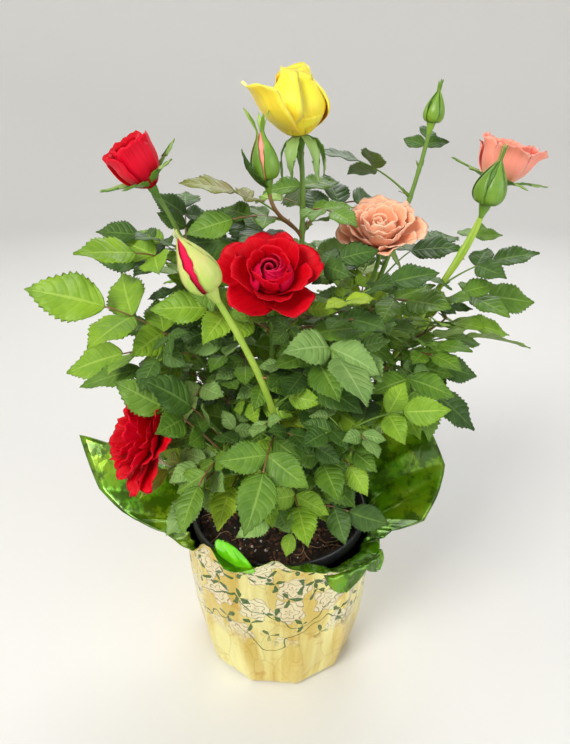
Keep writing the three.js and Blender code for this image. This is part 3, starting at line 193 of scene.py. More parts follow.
# Blooms stand on +Z from their shoot's end: hip and heart (radius and top), the petals in a whorl where they
# aren't five, the first one's compass angle, whorls, loose petals and sepals
BLOOMS = dict(
    yellow=dict(hip=[3.3, 7], heart=[15, 41], turn=60, sepal=petal_row(7, 2.4, 25, 6.5, 115, 178, 0), loose=[
        petal_row(8, 2.5, 40, 25, 76, 16, 50, 16, azimuth=186),
        petal_row(8, 5, 40, 26, 84, -14, 4, 15, azimuth=318),
        petal_row(8, 5, 40, 26, 84, -14, 4, 15, azimuth=70),
    ]),
    redHalf=dict(hip=[2.8, 6], heart=[8, 24], turn=0, sepal=petal_row(6, 2.2, 20, 5.5, 55, 70, 0), whorls=[
        petal_row(6, 2.5, 27, 19, 58, 2, 26, 12),
        petal_row(7, 2.2, 24, 15, 46, -8, 8, 10),
    ]),
    pink=dict(hip=[3.6, 8], heart=[7.5, 29], turn=36, sepal=petal_row(8, 3, 22, 5.5, 66, 84, 0), whorls=[
        petal_row(8, 3, 29, 21, 64, 8, 62, 13),
        petal_row(9, 2.5, 25, 17, 50, -6, 30, 11),
    ]),
    coral=dict(hip=[3.2, 7], heart=[6.5, 23], turn=54, sepal=petal_row(7, 2.6, 18, 5, 105, 135, 0), whorls=[
        petal_row(7, 3, 27, 25, 92, 50, 34, 17),
        petal_row(7.5, 3, 24, 21, 76, 28, 26, 14),
        petal_row(8, 2, 20, 17, 56, 6, 16, 11),
    ]),
    redOpen=dict(hip=[3.2, 7], heart=[7, 23], turn=18, sepal=petal_row(7, 2.6, 17, 5, 105, 125, 0), whorls=[
        petal_row(7, 3, 29, 27, 92, 56, 28, 20),
        petal_row(7.5, 3, 25, 23, 78, 30, 22, 15),
        petal_row(8, 2, 21, 19, 62, 2, 12, 11),
    ]),
    redBlown=dict(hip=[3.4, 8], heart=[6, 21], count=7, turn=10, sepal=petal_row(8, 3, 19, 6, 70, 150, 0),
                  whorls=[
        petal_row(8, 3, 29, 19, 96, 80, 20, 18),
        petal_row(8.5, 3, 26, 15, 80, 52, 22, 13),
        petal_row(9, 2, 21, 12, 54, 16, 18, 9),
    ]),
    pinkBud=dict(hip=[3.2, 7], heart=[4.6, 24], turn=0, whorls=[
        petal_row(6, 2, 27, 8, 36, -10, 8, 7, pointed=True),
    ]),
    tallBud=dict(hip=[2.6, 6], heart=[3.9, 17], turn=0, whorls=[
        petal_row(5, 1.8, 22, 7, 34, -12, 4, 6, pointed=True),
    ]),
    greenBud=dict(hip=[3.4, 7], heart=[5.6, 23], turn=40, whorls=[
        petal_row(6, 2.4, 27, 9, 42, -16, 4, 7, pointed=True),
    ]),
    splitBud=dict(hip=[3.6, 7], heart=[5.6, 24], turn=10, whorls=[
        petal_row(6, 2.4, 25, 10, 40, -14, 0, 8, pointed=True),
    ]),
)

# The growing rule, as in the solids' source
def chance(seed, count):
    """A repeatable number from 0 to 1: what follows the point in a large multiple of a sine of seed and
    count."""
    wave = np.sin(seed * 12.9898 + count * 78.233) * 43758.5453
    return wave - np.floor(wave)


def unit(vectors):
    """Vectors made one long."""
    return vectors / np.maximum(np.linalg.norm(vectors, axis=-1, keepdims=True), 1e-12)


def compass(degrees):
    """The level direction at a compass angle: its cosine along X and its sine along Y."""
    angle = np.radians(degrees)
    return np.stack([np.cos(angle), np.sin(angle), np.zeros_like(angle)], axis=-1)


def swing(seed, count):
    """A repeatable number from -1 to 1."""
    return 2 * chance(seed, count) - 1


def ring_point(turn, out, up):
    """Points at compass angles round Z, so far out and so far up."""
    return compass(turn) * out[..., None] + UP * up[..., None]


def rotated(vector, axis, degrees):
    """A vector turned about an axis: its part along the axis stays, and the rest turns in its plane."""
    angle = math.radians(degrees)
    along = axis * (vector @ axis)
    return along + (vector - along) * math.cos(angle) + np.cross(axis, vector) * math.sin(angle)


class Path:
    """A shoot's line: a cubic curve that leaves its foot along `start` and reaches its tip along `face`. It
    is read by shares of its length, which is summed over 200 straight steps."""

    STEPS = 200

    def __init__(self, foot, start, tip, face, rise, reach):
        span = np.linalg.norm(tip - foot)
        self.corners = np.array([foot, foot + rise * span * start, tip - reach * span * face, tip])
        self.shares = np.linspace(0, 1, self.STEPS + 1)
        steps = np.linalg.norm(np.diff(self.spot(self.shares), axis=0), axis=1)
        self.lengths = np.concatenate([[0], np.cumsum(steps)])
        self.length = self.lengths[-1]

    def spot(self, t):
        """The curve's point: its four corners weighed by the cubic Bernstein terms."""
        t = np.asarray(t, float)[..., None]
        weights = [(1 - t) ** 3, 3 * (1 - t) ** 2 * t, 3 * (1 - t) * t**2, t**3]
        return sum(weight * corner for weight, corner in zip(weights, self.corners))

    def parameter(self, share):
        """The curve's parameter at a share of its length, read off the table of lengths."""
        return np.interp(np.clip(share, 0, 1) * self.length, self.lengths, self.shares)

    def point(self, share):
        """The point at a share of the length."""
        return self.spot(self.parameter(share))

    def tangent(self, share):
        """The way ahead at a share of the length: the curve's derivative, made one long."""
        t = np.asarray(self.parameter(share))[..., None]
        first, second, third = np.diff(self.corners, axis=0)
        return unit((1 - t) ** 2 * first + 2 * (1 - t) * t * second + t**2 * third)


FLATTER = 0.97  # a limb's radius across its flats, by its radius


def radius_at(shoot, share):
    """A limb's radius, which falls evenly from its base to its top."""
    return shoot["base"] + (shoot["top"] - shoot["base"]) * share


def fork_start(path, base, parent, at):
    """The share of a side shoot's length at which its slanting end is a running gap clear of its parent."""
    near = at + (np.arange(81) - 40) * 0.4 / parent["path"].length
    axis = parent["path"].point(near)
    ahead = parent["path"].tangent(at)
    share = 0.0
    while True:
        apart = np.linalg.norm(axis - path.point(share), axis=1).min()
        slant = path.tangent(share) @ ahead
        if apart - base * FLATTER * slant > radius_at(parent, at) * FLATTER + GAP:
            return share
        share += 0.1 / path.length


def make_shoots():
    """The shoots by name. A shoot with a foot starts upright on the soil, and a side shoot between its
    parent's way and its own."""
    shoots = {}
    for row in SHOOTS:
        tip = np.array(row["tip"], float)
        face = unit(np.array(row["face"], float))
        parent = shoots.get(row.get("parent"))
        if parent:
            foot = parent["path"].point(row["at"])
            start = unit(0.6 * parent["path"].tangent(row["at"]) + unit(tip - foot))
            base = row["base"]
        else:
            foot = np.array([*row["foot"], SOIL_LEVEL + GAP], float)
            start = UP
            base = CANE["foot_radius"]
        path = Path(foot, start, tip, face, row["rise"], row["reach"])
        first = fork_start(path, base, parent, row["at"]) if parent else 0.0
        shoots[row["name"]] = dict(row, path=path, base=base, facing=face, first=first, end=tip)
    return shoots


def skirt_edge(angle):
    """The radius and height of the skirt's edge at compass angles, in straight steps between the table's
    rows."""
    keys, radii, heights = np.array(SKIRT_EDGE, float).T
    return np.interp(angle, keys, radii, period=360), np.interp(angle, keys, heights, period=360)


def skirt_rows(angle, shares):
    """The skirt's profile: a quadratic curve from the pot's rim, whose middle corner stands over the rim by
    half of the edge's rise and a little of its reach."""
    radius, height = skirt_edge(angle)
    rise = 0.5 * (height - FOIL["rim_height"]) + 0.06 * (radius - FOIL["rim_radius"])
    weights = (1 - shares) ** 2, 2 * (1 - shares) * shares, shares**2
    rim_out, rim_up = FOIL["rim_radius"], FOIL["rim_height"]
    out = weights[0] * rim_out + weights[1] * (rim_out + 0.15 * rise) + weights[2] * radius
    up = weights[0] * rim_up + weights[1] * (rim_up + rise) + weights[2] * height
    return out, up


def skirt_cloud():
    """Points spread over the foil's skirt, four between each two of its rows and every third degree round
    it."""
    angle = np.arange(0, 360, 3)[:, None]
    out, up = skirt_rows(angle, np.linspace(0, 1, FOIL["skirt_rows"] + 1)[None])
    steps = np.arange(0, 1, 0.25)

    def spread(values):
        rows = np.concatenate([values, values[:, -1:]], axis=1)
        return rows[:, :-1, None] + np.diff(rows, axis=1)[:, :, None] * steps

    return ring_point(angle[:, :, None], spread(out), spread(up)).reshape(-1, 3)


def distances(points, others):
    """How far each point is from each of the others."""
    return np.linalg.norm(points[:, None] - others[None], axis=-1)


def bar_distances(points, starts, ends):
    """How far each point is from each bar: its distance from the nearest place on the line between the ends."""
    along = ends - starts
    share = np.einsum("pbi,bi->pb", points[:, None] - starts[None], along)
    share = np.clip(share / np.maximum((along**2).sum(axis=1), 1e-9), 0, 1)
    return np.linalg.norm(points[:, None] - starts[None] - share[..., None] * along[None], axis=-1)


def side_of(w, x, y, z):
    """Whether z is on the upper side of the plane through w, x and y: the sign of their triple product."""
    return np.einsum("...i,...i->...", np.cross(x - w, y - w), z - w) > 0


def pierces(starts, ends, faces):
    """Whether a line from a start to its end passes through a face: its ends are on the face's two sides, and
    it passes the face's three edges on the same hand."""
    a, b = starts[:, None], ends[:, None]
    p, q, r = (faces[None, :, i] for i in range(3))
    turn = side_of(a, b, p, q)
    inside = (turn == side_of(a, b, q, r)) & (turn == side_of(a, b, r, p))
    return bool(np.any((side_of(p, q, r, a) != side_of(p, q, r, b)) & inside))


class Form:
    """A leaflet, stalk or petal as what others keep clear of: points spread over it, its faces, and the ball
    that holds it."""

    def __init__(self, points, faces):
        self.points = np.asarray(points)
        self.faces = np.asarray(faces)
        self.middle = (self.points.min(axis=0) + self.points.max(axis=0)) / 2
        self.reach = np.linalg.norm(self.points - self.middle, axis=1).max()

    def edges(self):
        """The ends of its faces' sides."""
        return self.faces.reshape(-1, 3), np.roll(self.faces, -1, axis=1).reshape(-1, 3)


class Space:
    """What is already grown: limbs as bars with a radius, and leaves and blooms as forms."""

    def __init__(self, skirt):
        self.skirt = skirt
        self.starts = np.zeros((0, 3))
        self.ends = np.zeros((0, 3))
        self.radii = np.zeros(0)
        self.owners = np.zeros(0, dtype=object)
        self.forms = []
        self.middles = np.zeros((0, 3))
        self.reaches = np.zeros(0)

    def add_bars(self, points, radius, owner):
        """Adds the bars between points that follow each other."""
        count = len(points) - 1
        self.starts = np.concatenate([self.starts, points[:-1]])
        self.ends = np.concatenate([self.ends, points[1:]])
        self.radii = np.concatenate([self.radii, np.full(count, radius)])
        self.owners = np.concatenate([self.owners, np.full(count, owner, dtype=object)])

    def add_forms(self, forms):
        """Adds forms."""
        self.forms += forms
        self.middles = np.concatenate([self.middles, [form.middle for form in forms]])
        self.reaches = np.concatenate([self.reaches, [form.reach for form in forms]])

    def clear_of_pot(self, points, ease):
        """Whether points keep off the soil, the pot's rim and the foil's skirt."""
        low = points[points[:, 2] <= LOW]
        if not len(low):
            return True
        out = np.hypot(low[:, 0], low[:, 1])
        foil, soil = ease * CLEAR["foil"], ease * CLEAR["soil"]
        if np.any((out < POT["lip_radius"] + foil) & (low[:, 2] < SOIL_LEVEL + soil)):
            return False
        if np.any((out > POT["lip_radius"] - foil) & (low[:, 2] < POT["height"] + soil)):
            return False
        return distances(low, self.skirt).min() > foil

    def has_room(self, form, ease, base=None, owner=None):
        """Whether a form has room, with `ease` as the share of the clearances that is asked. A stalk may
        touch its own shoot's bars near its base."""
        least = self.radii + ease * CLEAR["limb"]
        near = bar_distances(form.middle[None], self.starts, self.ends)[0] <= least + form.reach
        if base is not None:
            own = (self.owners == owner) & (np.linalg.norm(self.starts - base, axis=1) < OWN_REACH)
            near &= ~own
        if near.any():
            starts, ends = self.starts[near], self.ends[near]
            if np.any(bar_distances(form.points, starts, ends) < least[near]):
                return False
            if pierces(starts, ends, form.faces):
                return False
        apart = ease * CLEAR["leaf"]
        near = np.linalg.norm(self.middles - form.middle, axis=1) <= self.reaches + form.reach + apart
        others = [self.forms[i] for i in np.flatnonzero(near)]
        if others:
            if distances(form.points, np.concatenate([other.points for other in others])).min() < apart:
                return False
            if pierces(*form.edges(), np.concatenate([other.faces for other in others])):
                return False
            sides = [np.concatenate(ends) for ends in zip(*(other.edges() for other in others))]
            if pierces(*sides, form.faces):
                return False
        return self.clear_of_pot(form.points, ease)


def midline_point(leaf, share):
    """A leaf's midline: the chord from its base to its tip, raised by a parabola."""
    share = np.asarray(share, float)[..., None]
    return leaf["base"] + leaf["chord"] * share + UP * leaf["lift"] * 4 * share * (1 - share)


def leaf_frame(leaf, share):
    """The way ahead, to the left and up out of the blade at a place along a leaf's midline."""
    ahead = unit(leaf["chord"] + UP * leaf["lift"] * 4 * (1 - 2 * share))
    level = np.cross(UP, ahead)
    if np.linalg.norm(level) < 1e-3:
        level = np.array([1.0, 0.0, 0.0])
    side = rotated(unit(level), ahead, leaf["roll"])
    return ahead, side, unit(np.cross(ahead, side))


def leaflets_of(leaf):
    """The leaflets of a leaf: one at its end, and pairs that stand out from its stalk."""

    def make(share, turn, length, hand):
        ahead, _, normal = leaf_frame(leaf, share)
        way = rotated(ahead, normal, turn)
        side = unit(np.cross(normal, way))
        base = midline_point(leaf, share)
        return dict(base=base, ahead=way, side=side, normal=normal, length=length, hand=hand)

    end = leaf["span"] * (1 - LEAF["terminal_from"])
    leaflets = [make(LEAF["terminal_from"], 0, end, 0)]
    for i in range(leaf["pairs"]):
        for hand in (1, -1):
            turn = hand * LEAF["pair_angle"][i]
            leaflets.append(make(LEAF["pairs_at"][i], turn, end * LEAF["pair_share"][i], hand))
    return leaflets


def leaflet_half(a, length):
    """Half a leaflet's width: a skewed sine of the way along it, widest below the middle."""
    return 0.5 * LEAF["width"] * length * np.abs(np.sin(np.pi * a**0.8)) ** 0.85


def leaflet_point(leaflet, a, b):
    """A leaflet's surface: it is folded up along its midrib, and bends down by the square of the way along
    it."""
    length = leaflet["length"]
    across = b * leaflet_half(a, length)
    drop = LEAF["bend"] * length * a**2 - LEAF["fold"] * abs(across)
    return leaflet["base"] + leaflet["ahead"] * a * length + leaflet["side"] * across - leaflet["normal"] * drop


# A leaflet's outline: corners along it and across, by its length and half its width
END_CORNERS = ((0.3, 0.9), (0.66, 0.98))
PAIR_CORNERS = ((0.44, 1.08),)
RIB_AT = 0.42  # where the fan's middle is
FOOT_SHARE = 0.07


def leaflet_form(leaflet):
    """A leaflet's form: a fan of faces from its midrib to its outline, with points spread over it. Those at
    its foot, which lies on its stalk, are left out."""
    corners = PAIR_CORNERS if leaflet["hand"] else END_CORNERS
    rib = leaflet_point(leaflet, RIB_AT, 0)
    lefts = [leaflet_point(leaflet, a, b) for a, b in corners]
    rights = [leaflet_point(leaflet, a, -b) for a, b in corners][::-1]
    outline = np.array([leaflet["base"], *lefts, leaflet_point(leaflet, 1, 0), *rights])
    following = np.roll(outline, -1, axis=0)
    shares = np.array([0, 1 / 3, 2 / 3])[:, None, None]
    edge = outline + (following - outline) * shares
    out = np.array([0.3, 0.55, 0.8, 1])[:, None, None, None]
    points = np.concatenate([rib[None], (rib + (edge - rib) * out).reshape(-1, 3)])
    kept = np.linalg.norm(points - leaflet["base"], axis=1) > leaflet["length"] * FOOT_SHARE
    faces = np.stack([np.broadcast_to(rib, outline.shape), outline, following], axis=1)
    return Form(points[kept], faces)


STALK_STEPS = 12


def grow_leaf(space, shoot, at, tip, pairs, roll, ease=1.0):
    """One leaf: its stalk and the leaflets that have room, or None where its stalk or its last leaflet has
    none."""
    base = shoot["path"].point(at)
    chord = np.asarray(tip, float) - base
    span = np.linalg.norm(chord)
    leaf = dict(base=base, chord=chord, lift=LEAF["rise"] * span, span=span, pairs=pairs, roll=roll, at=at)
    stalk = midline_point(leaf, np.linspace(0, LEAF["terminal_from"], STALK_STEPS + 1))
    free = stalk[2:]
    stalk_form = Form(free, np.stack([free[:-1], free[1:], free[1:]], axis=1))
    if not space.has_room(stalk_form, ease, base, shoot["name"]):
        return None
    leaflets, forms = [], []
    for leaflet in leaflets_of(leaf):
        form = leaflet_form(leaflet)
        if space.has_room(form, ease):
            leaflets.append(leaflet)
            forms.append(form)
        elif not leaflet["hand"]:
            return None
    if len(leaflets) < LEAF["fewest"]:
        return None
    space.add_bars(stalk, RACHIS_RADIUS, shoot["name"])
    space.add_forms(forms)
    return dict(leaf, leaflets=leaflets)


LIP_FROM = 0.68  # where a petal's cup ends and its lip begins


def arc_spot(s, lean, bend):
    """A point on an arc that starts at an angle from upright and bends evenly: how far out and up it is."""
    bend = np.where(np.abs(bend) < 1e-5, 1e-5, bend)
    angle = lean + bend * s
    return (np.cos(lean) - np.cos(angle)) / bend, (np.sin(angle) - np.sin(lean)) / bend, angle


def petal_midline(petal, s):
    """A petal's midline: a long arc for its cup and a short one for its lip. Gives how far out and up a place
    is, and the angle there from upright."""
    cup_length = LIP_FROM * petal["length"]
    lean, opening = math.radians(petal["lean"]), math.radians(petal["open"])
    out, up, angle = arc_spot(np.minimum(s, cup_length), lean, (opening - lean) / cup_length)
    lip_bend = math.radians(petal["lip"]) / (petal["length"] - cup_length)
    lip_out, lip_up, lip_angle = arc_spot(np.maximum(s - cup_length, 0), opening, lip_bend)
    past = s > cup_length
    return (
        petal["radius"] + out + np.where(past, lip_out, 0),
        petal["height"] + up + np.where(past, lip_up, 0),
        np.where(past, lip_angle, angle),
    )


def petal_point(petal, u, v):
    """A petal's surface on a grid of u, from edge to edge, and v, from foot to tip. It widens by a quarter
    sine, is curved across by its cup's radius, and narrows to a point where it is a sepal."""
    width = petal["width"] * (1 - 0.9 * v**2 if petal.get("pointed") else 1)
    out, up, angle = petal_midline(petal, v * (1 - 0.24 * u**2) * petal["length"])
    spread = 0.3 + 0.7 * np.sin(np.pi / 2 * np.minimum(1, v / 0.62))
    across = 0.5 * u * width * spread
    inward = petal["cup"] * (1 - np.cos(across / petal["cup"]))
    sideways = petal["cup"] * np.sin(across / petal["cup"])
    level = (out - inward * np.cos(angle))[..., None] * compass(petal["azimuth"])
    level = level + sideways[..., None] * compass(petal["azimuth"] + 90)
    return level + (up + inward * np.sin(angle))[..., None] * UP


SEPALS = 5


def bloom_petals(bloom):
    """The petals of a bloom's whorls, each between those of the one before, its loose petals and its sepals."""
    petals = []
    count = bloom.get("count", 5)
    for k, whorl in enumerate(bloom.get("whorls", [])):
        first = bloom["turn"] + k * 180 / count
        petals += [dict(whorl, azimuth=first + i * 360 / count) for i in range(count)]
    sepals = []
    if "sepal" in bloom:
        sepal = dict(bloom["sepal"], cup=bloom["sepal"]["width"], pointed=True)
        sepals = [dict(sepal, azimuth=bloom["turn"] + (i + 0.5) * 360 / SEPALS) for i in range(SEPALS)]
    return petals, bloom.get("loose", []), sepals


def stood(points, shoot):
    """Points of a bloom that stands on +Z, turned the shortest way to its shoot's facing and put on its end."""
    facing = shoot["facing"]
    axis = np.cross(UP, facing)
    skew = np.array([[0, -axis[2], axis[1]], [axis[2], 0, -axis[0]], [-axis[1], axis[0], 0]])
    turn = np.eye(3) + skew + skew @ skew / (1 + facing[2])
    return points @ turn.T + shoot["end"]


PATH_STEPS = 16
PETAL_GRID = np.linspace(0, 1, 5)


def petal_form(petal, shoot):
    """A petal's form: a grid of points, with two faces to each cell."""
    grid = stood(petal_point(petal, 2 * PETAL_GRID[None] - 1, PETAL_GRID[:, None]), shoot)
    p, q, r, t = grid[:-1, :-1], grid[1:, :-1], grid[1:, 1:], grid[:-1, 1:]
    faces = np.concatenate([np.stack([p, q, r], axis=2), np.stack([p, r, t], axis=2)])
    return Form(grid.reshape(-1, 3), faces.reshape(-1, 3, 3))


def occupy(space, shoots):
    """Sets down the limbs and the blooms, which the leaves then keep clear of."""
    for shoot in shoots.values():
        line = shoot["path"].point(np.linspace(shoot["first"], 1, PATH_STEPS + 1))
        space.add_bars(line, shoot["base"], shoot["name"])
        if "bloom" not in shoot:
            continue
        bloom = BLOOMS[shoot["bloom"]]
        (_, hip_length), (heart_radius, top) = bloom["hip"], bloom["heart"]
        middle = stood(np.array([0, 0, (hip_length + top) / 2]), shoot)
        space.add_bars(np.array([middle, middle]), max(heart_radius, (top - hip_length) / 2), "bloom")
        space.add_forms([petal_form(petal, shoot) for group in bloom_petals(bloom) for petal in group])


def tip_ahead(shoot, at, heading, climb, length):
    """The place so far from a shoot's line at a compass heading and a climb in radians."""
    way = compass(float(heading))
    return shoot["path"].point(at) + (way * math.cos(climb) + UP * math.sin(climb)) * length


def grow(space, shoots):
    """The leaves by shoot: first the placed ones, and then those of the rule, which wind up each shoot and
    try other headings until one has room."""
    grown = {name: [] for name in shoots}
    for name, at, tip, pairs, roll, tint in PLACED_LEAVES:
        leaf = grow_leaf(space, shoots[name], at, tip, pairs, roll)
        if leaf:
            grown[name].append(dict(leaf, tint=tint))
    for seed, shoot in enumerate(shoots.values()):
        count, first, last, phase, size = shoot["leaves"]
        for i in range(count):
            at = first + (last - first) * i / max(1, count - 1)
            for attempt in range(TRIES):
                number = i * 7 + attempt
                climb = math.radians(LEAF["climb"] * swing(seed + 1, number) - LEAF["droop"] * (1 - at))
                length = size * (0.86 + 0.3 * chance(seed + 31, number)) * (1 - 0.06 * attempt)
                tip = tip_ahead(shoot, at, phase + TURN * i + 47 * attempt, climb, length)
                pairs = 2 if chance(seed + 91, i) > 0.45 else 1
                leaf = grow_leaf(space, shoot, at, tip, pairs, LEAF["roll"] * swing(seed + 61, number))
                if leaf:
                    grown[shoot["name"]].append(leaf)
                    break
    return grown


# Meshes
def split_grid(index, uv):
    """The triangles of a grid of point numbers, two to a cell, with the map's place at each corner. Those
    with the same number twice, as at a pole, are dropped."""
    rows, columns = index.shape
    place = np.arange(rows * columns).reshape(rows, columns)
    a, b, c, d = place[:-1, :-1], place[:-1, 1:], place[1:, 1:], place[1:, :-1]
    corners = np.concatenate([np.stack([a, b, c], axis=-1), np.stack([a, c, d], axis=-1)]).reshape(-1, 3)
    faces = index.ravel()[corners]
    whole = (faces[:, 0] != faces[:, 1]) & (faces[:, 1] != faces[:, 2]) & (faces[:, 2] != faces[:, 0])
    return faces[whole], uv.reshape(-1, 2)[corners[whole]]


class Surface:
    """Points and faces gathered for one piece."""

    def __init__(self):
        self.points, self.faces, self.maps, self.finishes = [], [], [], []
        self.count = 0

    def add(self, points, patches, finish=0):
        """Adds one or many copies of a form: points are (copies, points, 3), and patches are pairs of a grid
        of point numbers and a grid of map places. The finish is one for all, or one for each copy or
        patch."""
        points = np.asarray(points, float)
        points = points.reshape(-1, *points.shape[-2:])
        copies, each = points.shape[:2]
        starts = self.count + np.arange(copies)[:, None, None] * each
        for number, (index, uv) in enumerate(patches):
            faces, places = split_grid(index, uv)
            chosen = finish[number] if isinstance(finish, tuple) else finish
            self.faces.append((faces[None] + starts).reshape(-1, 3))
            self.maps.append(np.tile(places, (copies, 1, 1)).reshape(-1, 3, 2))
            self.finishes.append(np.repeat(np.broadcast_to(chosen, copies), len(faces)))
        self.points.append(points.reshape(-1, 3))
        self.count += copies * each

    def piece(self, name, finishes, slot, stands_for):
        """Makes the mesh object, which rides on the plant's one body and stands for solids."""
        points = np.concatenate(self.points) * MM
        faces = np.concatenate(self.faces)
        mesh = bpy.data.meshes.new(name)
        mesh.vertices.add(len(points))
        mesh.vertices.foreach_set("co", points.astype(np.float32).ravel())
        mesh.loops.add(faces.size)
        mesh.loops.foreach_set("vertex_index", faces.astype(np.int32).ravel())
        mesh.polygons.add(len(faces))
        mesh.polygons.foreach_set("loop_start", np.arange(0, faces.size, 3, dtype=np.int32))
        mesh.polygons.foreach_set("material_index", np.concatenate(self.finishes).astype(np.int32))
        mesh.polygons.foreach_set("use_smooth", np.ones(len(faces), bool))
        maps = np.concatenate(self.maps).astype(np.float32)
        mesh.uv_layers.new(name="surface").data.foreach_set("uv", maps.ravel())
        mesh.update(calc_edges=True)
        mesh.validate()
        for finish in finishes:
            mesh.materials.append(finish)
        made = bpy.data.objects.new(name, mesh)
        bpy.context.scene.collection.objects.link(made)
        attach(made, "root")
        if stands_for:
            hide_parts(*stands_for)


UNDER = 2.0  # how far the map of a sheet's underside is moved along u, by which its finish knows it


def grid_map(columns, v):
    """The map of a grid: u goes evenly from 0 to 1 over the columns, and v is given for each row."""
    return np.stack(np.broadcast_arrays(np.linspace(0, 1, columns)[None], v[:, None]), axis=-1)


def sheet(surface, thickness):
    """A closed thin sheet on surfaces (..., rows, columns, 3): a front and a back that meet along the border
    and stand apart by the thickness inside it. Gives its points and patches."""
    rows, columns = surface.shape[-3:-1]
    normal = unit(np.cross(np.gradient(surface, axis=-2), np.gradient(surface, axis=-3)))
    lift = (normal * thickness / 2)[..., 1:-1, 1:-1, :]
    front = surface.copy()
    front[..., 1:-1, 1:-1, :] += lift
    back = surface[..., 1:-1, 1:-1, :] - lift
    lead = surface.shape[:-3]
    points = np.concatenate([front.reshape(*lead, -1, 3), back.reshape(*lead, -1, 3)], axis=-2)
    upper = np.arange(rows * columns).reshape(rows, columns)
    lower = upper.copy()
    lower[1:-1, 1:-1] = rows * columns + np.arange((rows - 2) * (columns - 2)).reshape(rows - 2, columns - 2)
    uv = grid_map(columns, np.linspace(0, 1, rows))
    return points, [(upper, uv), (lower[:, ::-1], uv[:, ::-1] + (UNDER, 0))]


def tube(line, radii, sides, reference):
    """A closed tube along lines (..., rows, 3): a ring at each point, square to the line, and a point at each
    end. The radii are (..., rows, 1), or (..., rows, sides) for uneven rings, which start at the
    reference."""
    line = np.asarray(line, float)
    rows = line.shape[-2]
    ahead = unit(np.gradient(line, axis=-2))
    reference = np.asarray(reference, float)[..., None, :]
    first = unit(reference - ahead * (reference * ahead).sum(axis=-1, keepdims=True))
    second = np.cross(ahead, first)
    turn = np.linspace(0, 2 * np.pi, sides, endpoint=False)
    radii = np.asarray(radii)[..., None]
    ring = np.cos(turn)[:, None] * first[..., None, :] + np.sin(turn)[:, None] * second[..., None, :]
    rings = (line[..., None, :] + ring * radii).reshape(*line.shape[:-2], rows * sides, 3)
    points = np.concatenate([rings, line[..., :1, :], line[..., -1:, :]], axis=-2)
    around = np.arange(rows * sides).reshape(rows, sides)
    around = np.concatenate([around, around[:, :1]], axis=1)
    ends = np.full((1, sides + 1), rows * sides)
    index = np.concatenate([ends, around, ends + 1])
    return points, [(index, grid_map(sides + 1, np.concatenate([[0], np.linspace(0, 1, rows), [1]])))]


def turned(out, up, angle):
    """A body turned about Z from rows that start and end on the axis: out and up are (rows, angles), and the
    angles go once round without the last."""
    rows, count = out.shape
    rings = ring_point(angle, out[1:-1], up[1:-1]).reshape(-1, 3)
    points = np.concatenate([rings, [UP * up[0, 0], UP * up[-1, 0]]])
    around = np.arange((rows - 2) * count).reshape(rows - 2, count)
    around = np.concatenate([around, around[:, :1]], axis=1)
    poles = np.full((1, count + 1), (rows - 2) * count)
    index = np.concatenate([poles, around, poles + 1])
    return points, [(index, grid_map(count + 1, np.linspace(0, 1, rows)))]


def lathed(out, up, count):
    """A round body turned about Z, in so many columns, from how far out and up each row is."""
    out, up = (np.asarray(rows)[:, None] * np.ones(count) for rows in (out, up))
    return turned(out, up, np.arange(count) * 360 / count)


def sheet_grid(rows, columns):
    """Places on a sheet: u from -1 to 1 from edge to edge, and v from 0 to 1 from its foot to its tip."""
    return np.linspace(-1, 1, columns)[None], np.linspace(0, 1, rows)[:, None]


def smooth_step(low, high, value):
    """Rises from 0 at low to 1 at high with level ends."""
    t = np.clip((value - low) / (high - low), 0, 1)
    return t * t * (3 - 2 * t)


def value_noise(x, y, seed, wrap=None):
    """Smooth noise from 0 to 1 on a plane: repeatable numbers on whole places, blended across each cell. The
    pattern repeats along x after `wrap` cells."""
    cell_x, cell_y = np.floor(x), np.floor(y)
    share_x, share_y = smooth_step(0, 1, x - cell_x), smooth_step(0, 1, y - cell_y)

    def corner(step_x, step_y):
        column = cell_x + step_x
        column = np.mod(column, wrap) if wrap else column
        return chance(seed + column * 0.731, (cell_y + step_y) * 1.37)

    low = corner(0, 0) * (1 - share_x) + corner(1, 0) * share_x
    high = corner(0, 1) * (1 - share_x) + corner(1, 1) * share_x
    return low * (1 - share_y) + high * share_y


# Finishes
def colour(red, green, blue):
    """A colour as the shader takes it, from the 0 to 255 values of a colour chart."""
    shares = np.array([red, green, blue]) / 255
    linear = np.where(shares <= 0.04045, shares / 12.92, ((shares + 0.055) / 1.055) ** 2.4)
    return (*linear.tolist(), 1.0)


def add_node(tree, kind, inputs=None, **settings):
    """Adds a shader node, sets its properties, and fills its inputs with values or with other nodes'
    outputs."""
    made = tree.nodes.new(kind)
    for key, value in settings.items():
        setattr(made, key, value)
    for key, value in (inputs or {}).items():
        if isinstance(value, bpy.types.NodeSocket):
            tree.links.new(value, made.inputs[key])
        else:
            made.inputs[key].default_value = value
    return made


def maths(tree, operation, *values):
    """The output of a Math node on up to three values."""
    return add_node(tree, "ShaderNodeMath", dict(enumerate(values)), operation=operation).outputs[0]


def ramp(tree, value, low, high, to_low=0.0, to_high=1.0):
    """A value mapped smoothly from the stretch between low and high."""
    inputs = {"Value": value, "From Min": low, "From Max": high, "To Min": to_low, "To Max": to_high}
    return add_node(tree, "ShaderNodeMapRange", inputs, interpolation_type="SMOOTHSTEP").outputs["Result"]


def times(tree, first, second):
    """The product of two values."""
    return maths(tree, "MULTIPLY", first, second)


def parts_of(tree, vector):
    """A vector's three numbers."""
    return add_node(tree, "ShaderNodeSeparateXYZ", {0: vector}).outputs


def mixed(tree, share, first, second):
    """Two colours mixed by a share."""
    return add_node(tree, "ShaderNodeMix", {0: share, 6: first, 7: second}, data_type="RGBA").outputs[2]


